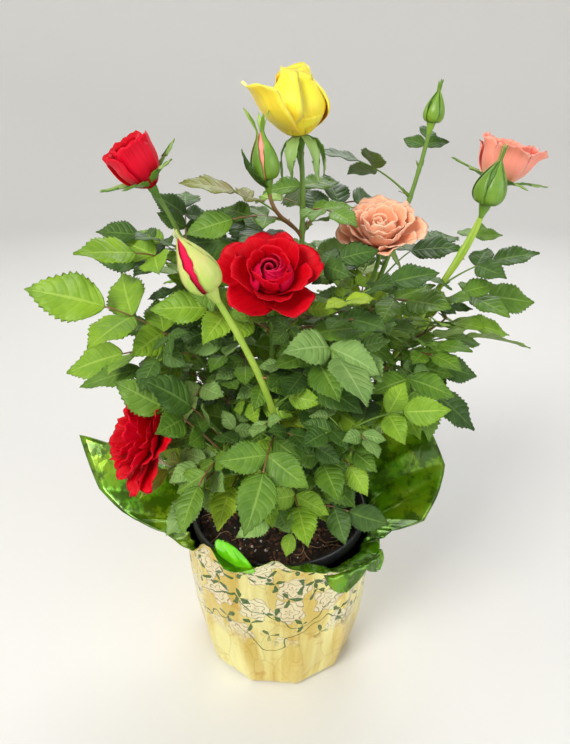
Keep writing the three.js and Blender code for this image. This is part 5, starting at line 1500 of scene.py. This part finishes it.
def make_litter():
    """What lies on the soil: bark chips, white grains of perlite and a few fine rootlets."""
    rng = np.random.default_rng(71)
    chips = Surface()
    count = LITTER["chips"]
    sizes = rng.uniform((1.8, 1.1, 0.6), (8.0, 3.4, 1.8), (count, 3))
    chips.add(*lumps(rng, scatter(rng, count), sizes, 0.3))
    chips.piece("bark_chips", [BARK], "soil", [])
    grains = Surface()
    count = LITTER["grains"]
    sizes = rng.uniform(0.7, 2.3, (count, 1)) * rng.uniform(0.7, 1, (count, 3))
    grains.add(*lumps(rng, scatter(rng, count) + (0, 0, 0.3), sizes, 0.25))
    grains.piece("perlite", [PERLITE], "soil", [])
    roots = Surface()
    t = np.linspace(0, 1, 24)
    for start in scatter(rng, LITTER["roots"], 46):
        heading = rng.uniform(0, 360)
        turn = heading + 80 * np.sin(t * rng.uniform(2, 5))
        line = start[:2] + np.cumsum(compass(turn)[:, :2] * rng.uniform(0.6, 1.3), axis=0)
        height = soil_height(line[:, 0], line[:, 1]) + 0.6 + 2.2 * np.sin(np.pi * t) * rng.uniform(0.3, 1)
        roots.add(*tube(np.column_stack([line, height]), np.full((len(t), 1), 0.32), 5, UP))
    roots.piece("rootlets", [ROOTLET], "soil", [])


# Leaves
BLADE = dict(thickness=0.4, tooth=0.06, tooth_ahead=0.6, fold=0.13, bend=0.09, sway=0.05, ripple=0.022,
             outward=0.35, lit=0.7, roll=0.4, taper=0.6)
LIT_SIDE = np.array([-0.25, -0.95, 0.0])
STIPULE = dict(length=8, slim=0.34, turn=16)


def vary(seed, count):
    """Repeatable numbers from -1 to 1, one for each of a count of things, shaped to multiply grids."""
    return swing(seed, np.arange(count))[:, None, None]


def leaned(leaflets):
    """The leaflets' bases and frames, with each blade rolled about its length towards the light, and outwards
    the more the further it stands from the middle of the bush."""
    keys = ("base", "ahead", "normal")
    base, ahead, normal = (np.array([leaflet[key] for leaflet in leaflets]) for key in keys)
    outward = base * (1, 1, 0) / 70
    outward = outward / np.maximum(1, np.linalg.norm(outward, axis=1, keepdims=True))
    towards = BLADE["outward"] * outward + BLADE["lit"] * LIT_SIDE
    towards = towards - ahead * (towards * ahead).sum(axis=1, keepdims=True)
    roll = BLADE["roll"] * vary(int(base[0, 2]), len(base))[:, 0]
    normal = unit(normal + towards + roll * np.cross(normal, ahead))
    return base, ahead, np.cross(normal, ahead), normal


def blades(leaflets, rows, columns, seed):
    """Leaflets' surfaces (leaflets, rows, columns, 3): folded up along the midrib, bent down by the square of
    the way along, swaying to one side, and rippled along the border, where every second row is a tooth."""
    base, ahead, side, normal = (frame[:, None, None] for frame in leaned(leaflets))
    length = np.array([leaflet["length"] for leaflet in leaflets])[:, None, None]
    slim = np.array([leaflet.get("slim", 1.0) for leaflet in leaflets])[:, None, None]
    count = len(leaflets)
    a = np.linspace(0, 1, rows)[:, None]
    b = -np.sin(np.linspace(-np.pi / 2, np.pi / 2, columns))[None]
    tooth = np.where(np.abs(b) > 0.999, (np.arange(rows) % 2)[:, None] * 2 - 1, 0)
    tooth = tooth * smooth_step(0, 0.08, a) * smooth_step(1, 0.94, a)
    half = np.maximum(leaflet_half(a, length) * slim * (1 - BLADE["taper"] * a**5), 0.008 * length)
    across = b * half * (1 + BLADE["tooth"] * tooth)
    along = a + np.maximum(tooth, 0) * BLADE["tooth_ahead"] / rows
    fold = LEAF["fold"] + BLADE["fold"] * vary(seed + 1, count)
    bend = LEAF["bend"] + BLADE["bend"] * vary(seed + 2, count)
    sway = BLADE["sway"] * vary(seed + 3, count) * length * a**2
    ripple = BLADE["ripple"] * length * np.sin(2 * np.pi * (2.6 * a + vary(seed + 4, count) + 0.3 * b)) * b**2
    drop = bend * length * a**2 - fold * np.abs(across) * (1 - 0.35 * np.abs(b)) - ripple
    forward = ahead * (along * length)[..., None]
    return base + forward + side * (across + sway)[..., None] - normal * drop[..., None]


def stipules_of(leaf):
    """The two narrow wings at the foot of a leaf's stalk."""
    ahead, _, normal = leaf_frame(leaf, 0.0)
    wings = []
    for hand in (1, -1):
        way = rotated(ahead, normal, hand * STIPULE["turn"])
        side = unit(np.cross(normal, way))
        wings.append(dict(base=leaf["base"], ahead=way, side=side, normal=normal, length=STIPULE["length"],
                          slim=STIPULE["slim"]))
    return wings


# Chances of each leaf tint: low down in the bush, and at its crown. The low chances lean to the paler
# tints as painted light, to lift the shade deep in the bush
TINTS_LOW = (0.2, 0.32, 0.18, 0.08, 0.22, 0.0)
TINTS_HIGH = (0.24, 0.36, 0.18, 0.07, 0.11, 0.04)
CROWN = 340


def dealt_tint(seed, number, share):
    """A leaf's tint, dealt by the chances, which blend from low to high by a share."""
    chances = np.array(TINTS_LOW) * (1 - share) + np.array(TINTS_HIGH) * share
    return int(np.searchsorted(np.cumsum(chances), chance(seed, number) * chances.sum()))


# Small side twigs and leaves that fill the room between the others
TWIG = dict(base=0.95, top=0.6, reach=(20, 32), rise=(8, 22), ease=0.5, leaves=((0.5, 0), (0.78, 1), (1.0, 2)))
FINER = dict(size=0.6, ease=0.42, tries=5, more=4, pairs_from=0.35)


def finer_leaf(space, shoot, at, heading, seed, number, size, ease):
    """A small leaf at a place on a shoot, tried at a few headings."""
    for attempt in range(FINER["tries"]):
        count = number * 11 + attempt
        climb = math.radians(26 * swing(seed, count) - 4)
        length = size * (0.8 + 0.4 * chance(seed + 13, count)) * (1 - 0.05 * attempt)
        tip = tip_ahead(shoot, at, heading + 61 * attempt, climb, length)
        pairs = 2 if chance(seed + 43, number) > FINER["pairs_from"] else 1
        leaf = grow_leaf(space, shoot, at, tip, pairs, LEAF["roll"] * swing(seed + 29, count), ease)
        if leaf:
            return leaf
    return None


def within(limits, share):
    """A size between two limits."""
    low, high = limits
    return low + (high - low) * share


def grow_twigs(space, shoots):
    """Short twigs that leave the shoots between their leaves, each with up to three small leaves."""
    twigs = {}
    for seed, shoot in enumerate(list(shoots.values())):
        count, first, last, phase, size = shoot["leaves"]
        for i in range(2 if count > 4 else 0):
            at = first + (last - first) * (0.18 + 0.4 * i)
            heading = phase + 72 + TURN * i + 50 * chance(seed + 7, i)
            out = within(TWIG["reach"], chance(seed + 8, i))
            rise = within(TWIG["rise"], chance(seed + 9, i))
            foot = shoot["path"].point(at)
            way = compass(float(heading))
            path = Path(foot, unit(way + 0.5 * UP), foot + way * out + UP * rise, unit(way + UP), 0.35, 0.3)
            name = f"{shoot['name']}_twig_{i}"
            twig = dict(name=name, path=path, base=TWIG["base"], top=TWIG["top"], first=0.0)
            leaves = []
            for share, turn in TWIG["leaves"]:
                leaf = finer_leaf(space, twig, share, heading + 100 * turn - 100, seed + 201, i * 3 + turn,
                                  size * FINER["size"], TWIG["ease"])
                leaves += [leaf] if leaf else []
            if leaves:
                space.add_bars(path.point(np.linspace(0, 1, 5)), TWIG["base"], name)
                twigs[name] = (shoot["name"], twig, leaves)
    return twigs


def grow_finer(space, shoots, grown):
    """Small leaves along every leafy shoot, wherever they have room."""
    for seed, shoot in enumerate(shoots.values()):
        count, first, last, phase, size = shoot["leaves"]
        more = count + FINER["more"] if count > 3 else 0
        for i in range(more):
            at = max(shoot["first"] + 0.03, first - 0.1) + (last - first + 0.1) * (i + 0.5) / more
            heading = phase + 72 + TURN * i
            leaf = finer_leaf(space, shoot, at, heading, seed + 301, i, size * FINER["size"], FINER["ease"])
            if leaf:
                grown[shoot["name"]].append(dict(leaf, small=True))


# Which leafy solids are dressed together, by the side of the bush that they stand on
REGIONS = dict(
    left=("red_half_open_rose", "foliage_left", "foliage_left_back", "foliage_low_left", "blown_red_rose"),
    back=("foliage_back_left", "foliage_back", "foliage_back_right"),
    right=("pink_rose", "foliage_right", "tall_bud", "green_bud"),
    front=("split_bud", "foliage_front", "foliage_front_left", "foliage_front_right"),
    top=("yellow_rose", "pink_bud", "coral_rose", "red_open_rose", "foliage_crown"),
)


def leafy_node(name):
    """The leafy solid of a shoot."""
    return name if name.startswith("foliage") else f"spray_{name}"


def add_blades(surface, leaflets, tints, rows, columns, seed):
    """Adds leaflets' blades in their tints to a surface."""
    if leaflets:
        points, patches = sheet(blades(leaflets, rows, columns, seed), BLADE["thickness"])
        surface.add(points, patches, np.array(tints))


def make_leaves(grown):
    """The leaf blades, in one piece for each side of the bush. The smaller leaves have fewer rows and
    columns."""
    for number, (region, names) in enumerate(REGIONS.items()):
        surface = Surface()
        for small, rows, columns in ((False, 27, 9), (True, 19, 7)):
            leaflets, tints, wings, wing_tints = [], [], [], []
            for name in names:
                for i, leaf in enumerate(grown[name]):
                    if leaf.get("small", False) != small:
                        continue
                    tint = leaf.get("tint")
                    share = min(1, leaf["base"][2] / CROWN)
                    tint = TINT_NUMBER[tint] if tint else dealt_tint(number * 37 + len(name), i, share**3)
                    leaflets += leaf["leaflets"]
                    tints += [tint] * len(leaf["leaflets"])
                    wings += stipules_of(leaf)
                    wing_tints += [TINT_NUMBER["fresh"]] * 2
            add_blades(surface, leaflets, tints, rows, columns, number * 10)
            add_blades(surface, wings, wing_tints, 7, 3, number * 10 + 5)
        surface.piece(f"leaves_{region}", LEAF_FINISHES, "leaves", [leafy_node(name) for name in names])


# Stems
STEM = dict(step=2.2, sides=14, node=0.2, node_reach=1.7, sink=6, flare_reach=9)
STEM_TINTS = dict(split_bud=1, pink_rose=1, green_bud=1, pink_bud=2)  # the others are plain green


def stem_line(shoot, leaves):
    """A shoot's line and radii: it starts inside its parent or below the soil, flares at a cane's foot, and
    swells a little where each leaf stands."""
    path = shoot["path"]
    shares = np.linspace(0, 1, max(12, int(path.length / STEM["step"])))
    line, radii = path.point(shares), radius_at(shoot, shares)
    for leaf in leaves:
        apart = (shares - leaf["at"]) * path.length / STEM["node_reach"]
        radii = radii * (1 + STEM["node"] * np.exp(-(apart**2)))
    if "foot" in shoot:
        flare = 1 + (CANE["flare"] - 1) * np.exp(-shares * path.length / STEM["flare_reach"])
        line = np.concatenate([[line[0] - UP * STEM["sink"]], line])
        radii = np.concatenate([radii[:1] * CANE["flare"], radii * flare])
    return line, radii


def stem_tube(line, radii, seed, sides=STEM["sides"]):
    """A stem's tube with lengthwise ribs and shallow dents."""
    rows = np.arange(len(line))[:, None]
    turn = np.arange(sides)[None]
    ribs = 0.05 * (value_noise(turn * 0.9, rows * 0.12, seed, sides) - 0.5)
    dents = 0.09 * (value_noise(turn * 0.45, rows * 0.5, seed + 9) - 0.5)
    return tube(line, radii[:, None] * (1 + ribs + dents), sides, (0.31, 0.95, 0.02))


def make_stems(shoots, grown, twigs):
    """All limbs: the canes up to their leafy part, and the green shoots and twigs above them."""
    canes, shanks = Surface(), Surface()
    for seed, shoot in enumerate(shoots.values()):
        line, radii = stem_line(shoot, [leaf for leaf in grown[shoot["name"]] if not leaf.get("on_twig")])
        bare = shoot.get("bare", 0)
        cut = int(len(line) * bare)
        if bare:
            canes.add(*stem_tube(line[:cut + 1], radii[:cut + 1], seed))
        shanks.add(*stem_tube(line[cut:], radii[cut:], seed), STEM_TINTS.get(shoot["name"], 0))
    for seed, (_, twig, leaves) in enumerate(twigs.values()):
        line, radii = stem_line(twig, leaves)
        shanks.add(*stem_tube(line, radii, seed + 50, 8), 2 if chance(seed, 5) > 0.4 else 0)
    canes.piece("canes", [CANE_FINISH], "cane", [f"cane_{row['name']}" for row in SHOOTS if "foot" in row])
    shanks.piece("shanks", STEM_FINISHES, "cane", [])


LEAF_STALK = dict(radii=(1.35, 0.95, 0.7, 0.62, 0.58, 0.54, 0.52, 0.5, 0.48, 0.46, 0.45, 0.5, 0.55), sides=7)


def make_leaf_stalks(leaves):
    """The leaves' stalks, green or ruddy, each swollen where it stands on its shoot."""
    share = np.linspace(0, LEAF["terminal_from"], len(LEAF_STALK["radii"]))
    lines = np.array([midline_point(leaf, share) for leaf in leaves])
    sides = np.array([leaf_frame(leaf, 0)[1] for leaf in leaves])
    slim = np.array([0.75 if leaf.get("small") else 1.0 for leaf in leaves])[:, None]
    tints = np.where(chance(17, np.arange(len(leaves))) > 0.42, 2, 0)
    stalks = Surface()
    radii = slim * np.array(LEAF_STALK["radii"])
    stalks.add(*tube(lines, radii[..., None], LEAF_STALK["sides"], sides), tints)
    stalks.piece("leaf_stalks", STEM_FINISHES, "cane", [])


PRICKLE = dict(length=2.8, foot=1.0, spacing=26)


def make_prickles(shoots):
    """Small down-curved prickles along the canes and shoots."""
    lines, sides = [], []
    rows = np.linspace(0, 1, 6)[:, None]
    for seed, shoot in enumerate(shoots.values()):
        path = shoot["path"]
        count = int(path.length * 0.7 / PRICKLE["spacing"])
        for i in range(count):
            share = shoot["first"] + 0.05 + 0.7 * (i + chance(seed, i)) / max(count, 1)
            ahead = path.tangent(share)
            level = unit(np.cross(ahead, compass(360 * chance(seed + 5, i))))
            foot = path.point(share) + level * radius_at(shoot, share) * 0.7
            lines.append(foot + level * PRICKLE["length"] * rows - ahead * 1.3 * rows**2)
            sides.append(ahead)
    radii = PRICKLE["foot"] * (1 - rows) ** 1.4 + 0.04
    prickles = Surface()
    prickles.add(*tube(np.array(lines), radii, 6, np.array(sides)))
    prickles.piece("prickles", [PRICKLE_FINISH], "cane", [])


# Blooms
PETAL = dict(rows=17, columns=15, thickness=0.4, ruffle=1.1, notch=0.05, tilt=1.0)
SEPAL_THICKNESS = 0.4
# For each rose: how far its heart is left open at the top, how many petals wrap it, whether its whorls are
# doubled, how wavy the petals are, how much larger they are drawn, by how much the sepals are drawn wider and
# longer, and where they differ its heart's drawn size and finish
ROSES = dict(
    yellow_rose=dict(finish="yellow", close=0.3, wraps=8, double=False, wavy=0.5, size=1, calyx=(1.6, 1.1),
                     heart=(18.5, 41)),
    red_half_open_rose=dict(finish="red", close=0.4, wraps=6, double=True, wavy=0.6, size=1.06,
                            calyx=(2.1, 1.35)),
    pink_rose=dict(finish="pink", close=0.5, wraps=6, double=True, wavy=1.5, size=1.05, calyx=(1.8, 1.3)),
    coral_rose=dict(finish="coral", close=0.6, wraps=6, double=True, wavy=1.0, size=1, calyx=(1.5, 1.1)),
    red_open_rose=dict(finish="red", close=0.3, wraps=7, double=False, wavy=0.55, size=1, calyx=(1.5, 1.1),
                       heart=(12, 25), core="magenta"),
    blown_red_rose=dict(finish="red", close=0.75, wraps=7, double=True, wavy=1.2, size=1.18, calyx=(1.6, 1.1)),
)
# How the yellow rose's one loose petal is drawn as it peels off towards the left
PEELED = dict(azimuth=211, width=34, cup=32, open=20, lip=44)


def wrinkled(grid, petal, seed, wavy):
    """A petal's grid pushed along its own normal: its lip waves, it leans to one side so that it laps over
    the next, and fine folds run up it."""
    u, v = sheet_grid(*grid.shape[:2])
    normal = unit(np.cross(np.gradient(grid, axis=1), np.gradient(grid, axis=0)))
    shift = chance(seed, 1)
    waves = np.sin(2 * np.pi * (0.8 * u + shift)) + 0.45 * np.sin(2 * np.pi * (2.1 * u + 3 * shift + 0.3 * v))
    size = petal["width"] / 22
    push = PETAL["ruffle"] * wavy * size * waves * v**3 + PETAL["tilt"] * size * u * smooth_step(0, 0.6, v)
    push = push + 0.16 * size * np.sin(2 * np.pi * (4.5 * u + shift)) * smooth_step(0.1, 0.5, v)
    return grid + normal * push[..., None]


def petal_sheet(petal, shoot, seed, wavy):
    """One petal as a thin closed sheet, with a shallow notch at the middle of its lip."""
    u, v = sheet_grid(PETAL["rows"], PETAL["columns"])
    notch = PETAL["notch"] * (0.4 + chance(seed, 2)) * np.exp(-((u / 0.22) ** 2))
    grid = wrinkled(petal_point(petal, u, v * (1 - notch)), petal, seed, wavy)
    return sheet(stood(grid, shoot), PETAL["thickness"])


def grown_petal(petal, size):
    """A petal drawn larger by a factor."""
    return dict(petal, length=petal["length"] * size, width=petal["width"] * size, cup=petal["cup"] * size)


def varied(petal, seed):
    """A petal with its lean, opening, lip, length and place a little its own."""
    change = swing(seed, np.arange(5))
    return dict(
        petal, lean=petal["lean"] + 4 * change[0], open=petal["open"] + 7 * change[1],
        lip=petal["lip"] + 12 * change[2], length=petal["length"] * (1 + 0.05 * change[3]),
        azimuth=petal["azimuth"] + 6 * change[4],
    )


def between(whorls):
    """Whorls with one more between each two, halfway in every size."""
    filled = []
    for near, far in zip(whorls, whorls[1:]):
        filled += [near, {key: (near[key] + far[key]) / 2 for key in near}]
    return filled + whorls[-1:]


def heart_sizes(bloom, rose):
    """A rose's hip radius and length, and the radius and top of its heart as it is drawn."""
    return (*bloom["hip"], *rose.get("heart", bloom["heart"]))


def wrapped_petal(bloom, i, rose):
    """A petal of the heart, wrapped round an egg: its radius swells from the hip and closes towards the top,
    and grows along its width so that it laps over the next. Inner petals are narrower, and turned on by
    137.5 degrees."""
    hip_radius, hip_length, radius, top = heart_sizes(bloom, rose)
    u, v = sheet_grid(PETAL["rows"], PETAL["columns"])
    share = 1 - 0.86 * i / rose["wraps"]
    height = v * (1 - 0.1 * u**2) * (1 - 0.02 * i)
    belly = np.sin(np.pi / 2 * np.minimum(1, height / 0.42)) ** 0.75
    closing = 1 - (1 - rose["close"]) * smooth_step(0.4, 1.05, height) ** 1.15
    out = (0.75 * hip_radius + (radius * share - 0.75 * hip_radius) * belly) * closing
    out = out + (0.09 * radius * u + 0.1 * radius * smooth_step(0.86, 1, v)) * smooth_step(0.1, 0.6, v)
    azimuth = bloom["turn"] + 137.5 * i + u * (80 + 3 * i) * (0.4 + 0.6 * smooth_step(0, 0.4, v))
    return ring_point(azimuth, out, hip_length - 1 + (top - hip_length + 1) * height)


def add_cup(surface, bloom, rose, shoot):
    """The closed bottom of the heart, inside its wrapped petals: it follows their swell a little further in."""
    hip_radius, hip_length, radius, top = heart_sizes(bloom, rose)
    t = np.linspace(0, 0.3, 8)
    belly = np.sin(np.pi / 2 * t / 0.42) ** 0.75
    out = 0.6 * hip_radius + (0.8 * radius - 0.6 * hip_radius) * belly
    up = hip_length - 1 + (top - hip_length) * np.concatenate([[0], t, [0.32, 0.32]])
    points, patches = lathed(np.concatenate([[0], out, [0.5 * radius, 0]]), up, 24)
    surface.add(stood(points, shoot), patches)


def add_hip(surface, bloom, shoot, finish):
    """The swollen green hip below a bloom."""
    radius, length = bloom["hip"]
    t = np.linspace(0, 1, 12)
    out = shoot["top"] + (radius - shoot["top"]) * np.sin(np.pi / 2 * t**1.3) - 0.5 * smooth_step(0.85, 1, t)
    up = np.concatenate([[-1.5], -1.5 + (length + 1.5) * t, [length + 0.2]])
    points, patches = lathed(np.concatenate([[0], out, [0]]), up, 20)
    surface.add(stood(points, shoot), patches, finish)


def sepal_sheet(petal, shoot, seed):
    """A sepal as a thin sheet with a curl in its tip and a few short side points along it."""
    u, v = sheet_grid(25, 9)
    grid = petal_point(petal, u * (1 + 0.1 * np.where(np.abs(u) > 0.9, np.sin(2 * np.pi * 4 * v), 0)), v)
    return sheet(stood(wrinkled(grid, petal, seed, 0.8), shoot), SEPAL_THICKNESS)


def make_roses(shoots):
    """The six open and half open roses, each in one piece, and their hips and sepals together."""
    calyxes = Surface()
    for number, (name, rose) in enumerate(ROSES.items()):
        shoot = shoots[name]
        bloom = BLOOMS[shoot["bloom"]]
        doubled = dict(bloom, whorls=between(bloom["whorls"])) if rose["double"] else bloom
        petals, loose, sepals = bloom_petals(doubled)
        flower = Surface()
        for i, petal in enumerate(petals):
            seed = number * 53 + i
            flower.add(*petal_sheet(grown_petal(varied(petal, seed), rose["size"]), shoot, seed, rose["wavy"]))
        for petal in loose[:1]:
            flower.add(*petal_sheet(dict(petal, **PEELED), shoot, number * 53 + len(petals), rose["wavy"]))
        for i in range(rose["wraps"]):
            grid = wrinkled(wrapped_petal(bloom, i, rose), dict(width=14), number * 31 + i, 0.25)
            flower.add(*sheet(stood(grid, shoot), PETAL["thickness"]), 1)
        add_cup(flower, bloom, rose, shoot)
        finishes = [PETAL_FINISHES[rose["finish"]], PETAL_FINISHES[rose.get("core", rose["finish"])]]
        flower.piece(f"petals_{name}", finishes, f"{rose['finish']}_petals", [f"flower_{name}"])
        pale = 1 if name == "blown_red_rose" else 0
        add_hip(calyxes, bloom, shoot, pale)
        wider, longer = rose["calyx"]
        for i, sepal in enumerate(sepals):
            drawn = dict(sepal, width=sepal["width"] * wider, length=sepal["length"] * longer)
            calyxes.add(*sepal_sheet(varied(drawn, number * 17 + i), shoot, number * 71 + i), pale)
    calyxes.piece("calyxes", [SEPAL_FINISH, CREAM_CALYX_FINISH], "young_growth", [])


# Each bud: its heart's finish (pink, magenta or green), its sepals' finish (green or pale), how much wider
# and taller it is drawn than its heart's size, how far round a sepal reaches in degrees to each side, how far
# its tip runs on past the heart, how far the tips stand off, and the slit between two sepals in degrees: its
# direction and its width
BUDS = dict(
    pink_bud=dict(heart=0, sepal=0, swell=1.3, stretch=1.35, reach=40, tip=12, spread=6, slit=(264, 16)),
    tall_bud=dict(heart=2, sepal=0, swell=1.15, stretch=1.4, reach=40, tip=8, spread=0.3, slit=(0, 0)),
    green_bud=dict(heart=2, sepal=0, swell=1.3, stretch=1.4, reach=40, tip=9, spread=0.5, slit=(20, 0)),
    split_bud=dict(heart=1, sepal=1, swell=1.25, stretch=1.5, reach=44, tip=5, spread=0.5, slit=(264, 36)),
)
# The leafy bract that stands beside the pink bud
BRACT = petal_row(2, 1, 27, 10, 58, 20, -10, 9, azimuth=226, pointed=True)


def bud_height(bloom, bud):
    """How tall a bud's heart is drawn above its hip."""
    return (bloom["heart"][1] - bloom["hip"][1]) * bud["stretch"] + 1


def bud_radius(bloom, bud, t):
    """A bud's radius at shares of its height: it swells by a power of the way up and draws in by a power of
    what is left."""
    (hip_radius, _), (radius, _) = bloom["hip"], bloom["heart"]
    t = np.clip(t, 0, 1)
    egg = t**0.6 * (1 - t) ** 1.1 / 0.332
    return 0.7 * hip_radius * (1 - t) ** 3 + bud["swell"] * radius * egg


def bud_heart(bloom, bud):
    """A bud's heart: its radius goes round with a shallow twist of folds."""
    columns = 36
    angle = np.arange(columns) * 360 / columns
    t = np.linspace(0, 1, 26)[:, None]
    twist = 1 + 0.04 * np.sin(np.radians(3 * angle + 200 * t)) * smooth_step(0.2, 0.6, t)
    out = bud_radius(bloom, bud, t) * twist
    out[0], out[-1] = 0, 0
    up = bloom["hip"][1] - 1 + bud_height(bloom, bud) * t * np.ones(columns)
    return turned(out, up, angle)


def hugging_sepal(bloom, bud, azimuth, seed):
    """A bud's sepal: it lies on the heart with one edge over its neighbour's, narrows to its tip, and runs on
    above the heart as a thin point that stands off and curls a little."""
    u, v = sheet_grid(30, 9)
    height = (bud_height(bloom, bud) + bud["tip"] * (0.55 + 0.45 * chance(seed, 3))) * v
    share = height / bud_height(bloom, bud)
    past = np.maximum(share - 0.85, 0)
    out = bud_radius(bloom, bud, share) + 0.7 + 0.45 * u
    out = np.maximum(out, 0.6) + bud["spread"] * past**1.3 * 2 + 0.5 * chance(seed, 1) * past
    half = bud["reach"] * (1 - 0.55 * smooth_step(0.25, 1, share))
    width = np.minimum(np.radians(half) * out, 0.2 + 9 * (1 - v) ** 0.9)
    teeth = np.where(np.abs(u) > 0.9, np.sin(2 * np.pi * 5 * v), 0) * 0.12
    width = width * (1 + teeth * smooth_step(0.3, 0.5, v))
    turn = azimuth + np.degrees(u * width / out) + 25 * past * (chance(seed, 2) - 0.3)
    return ring_point(turn, out, bloom["hip"][1] - 1 + height + 0 * u)


def make_buds(shoots):
    """The four buds: a closed heart in five sepals that cling to it."""
    hearts, sepals = Surface(), Surface()
    for number, (name, bud) in enumerate(BUDS.items()):
        shoot = shoots[name]
        bloom = BLOOMS[shoot["bloom"]]
        points, patches = bud_heart(bloom, bud)
        hearts.add(stood(points, shoot), patches, bud["heart"])
        add_hip(sepals, bloom, shoot, bud["sepal"])
        where, width = bud["slit"]
        for i in range(SEPALS):
            azimuth = where + width / 2 + (i + 0.5) * (360 - width) / SEPALS
            grid = hugging_sepal(bloom, bud, azimuth, number * 13 + i)
            sepals.add(*sheet(stood(grid, shoot), SEPAL_THICKNESS), bud["sepal"])
    sepals.add(*sepal_sheet(BRACT, shoots["pink_bud"], 5), 2)
    finishes = [PETAL_FINISHES["pink"], PETAL_FINISHES["magenta"], SEPAL_FINISH]
    hearts.piece("bud_hearts", finishes, "pink_petals", [])
    sepals.piece("bud_sepals", [BUD_FINISH, PALE_SEPAL_FINISH, LEAF_FINISHES[0]], "young_growth", [])


# The floor and the light
def plain_finish(name, shade, roughness):
    """A plain matt surface for the floor."""
    material, _, shader = finish(name, Roughness=roughness)
    shader["Base Color"].default_value = colour(*shade)
    return material


STUDIO = dict(flat=1.7, bend=0.8, height=1.6, columns=96)


def make_floor():
    """A wide pale floor that turns up all round into a low wall, with a quarter circle between. All in
    metres."""
    flat, bend, count = STUDIO["flat"], STUDIO["bend"], STUDIO["columns"]
    turn = np.linspace(0, 2 * np.pi, count + 1)[:-1]
    arc = np.linspace(0, np.pi / 2, 16)
    out = np.concatenate([[0.5, 1.2], flat + bend * np.sin(arc), [flat + bend]])
    up = np.concatenate([[0, 0], bend * (1 - np.cos(arc)), [STUDIO["height"]]])
    rows = np.stack([out[:, None] * np.cos(turn), out[:, None] * np.sin(turn), up[:, None] + 0 * turn], axis=-1)
    near = np.arange(0, (len(out) - 1) * count, count)[:, None]
    first, second = near + np.arange(count), near + (np.arange(count) + 1) % count
    corners = np.stack([first + count, second + count, second, first], axis=-1)
    faces = [list(range(count)), *corners.reshape(-1, 4).tolist()]
    mesh = bpy.data.meshes.new("floor")
    mesh.from_pydata(rows.reshape(-1, 3).tolist(), [], faces)
    mesh.polygons.foreach_set("use_smooth", np.ones(len(faces), bool))
    mesh.materials.append(plain_finish("floor", (221, 220, 217), 0.8))
    floor = bpy.data.objects.new("floor", mesh)
    bpy.context.scene.collection.objects.link(floor)


def area_light(name, place, aim, size, power, shade=(255, 255, 255)):
    """A square area light at a place, turned to what it aims at."""
    light = bpy.data.lights.new(name, "AREA")
    light.size = size
    light.energy = power
    light.color = colour(*shade)[:3]
    lamp = bpy.data.objects.new(name, light)
    lamp.location = place
    x, y, z = np.array(aim) - np.array(place)
    lamp.rotation_euler = (math.atan2(math.hypot(x, y), -z), 0, math.atan2(x, -y) + math.pi)
    bpy.context.scene.collection.objects.link(lamp)


def make_surround():
    """A pale studio: plain where the camera sees it, and in soft bands of light and shade where the foil
    mirrors it."""
    world = bpy.data.worlds.new("surround")
    world.use_nodes = True
    tree = world.node_tree
    way = add_node(tree, "ShaderNodeTexCoord").outputs["Generated"]
    bands = ramp(tree, noise(tree, way, 1.7, 1.0), 0.4, 0.6)
    shade = mixed(tree, bands, colour(92, 92, 94), colour(250, 250, 250))
    seen = add_node(tree, "ShaderNodeLightPath").outputs["Is Camera Ray"]
    background = tree.nodes["Background"]
    background.inputs["Strength"].default_value = 1.35
    tree.links.new(mixed(tree, seen, shade, colour(214, 213, 209)), background.inputs["Color"])
    bpy.context.scene.world = world


def light_scene():
    """A soft studio: a large key light from the upper left, and weaker ones from the right and from behind."""
    area_light("key", (-0.9, -1.1, 1.5), (0, 0, 0.2), 0.7, 28, (255, 252, 246))
    area_light("fill", (1.3, -0.9, 0.7), (0, 0, 0.2), 1.0, 9, (240, 246, 255))
    area_light("back", (0.2, 1.2, 1.3), (0, 0, 0.25), 0.9, 11)
    make_surround()
    bpy.context.scene.view_settings.view_transform = "Standard"


make_foil()
make_pot()
make_soil()
make_litter()

space = Space(skirt_cloud())
shoots = make_shoots()
occupy(space, shoots)
grown = grow(space, shoots)
twigs = grow_twigs(space, shoots)
grow_finer(space, shoots, grown)
for parent, _, leaves in twigs.values():
    grown[parent] += [dict(leaf, small=True, on_twig=True) for leaf in leaves]
make_leaves(grown)
make_leaf_stalks([leaf for leaves in grown.values() for leaf in leaves])
make_stems(shoots, grown, twigs)
make_prickles(shoots)
make_roses(shoots)
make_buds(shoots)

make_floor()
light_scene()
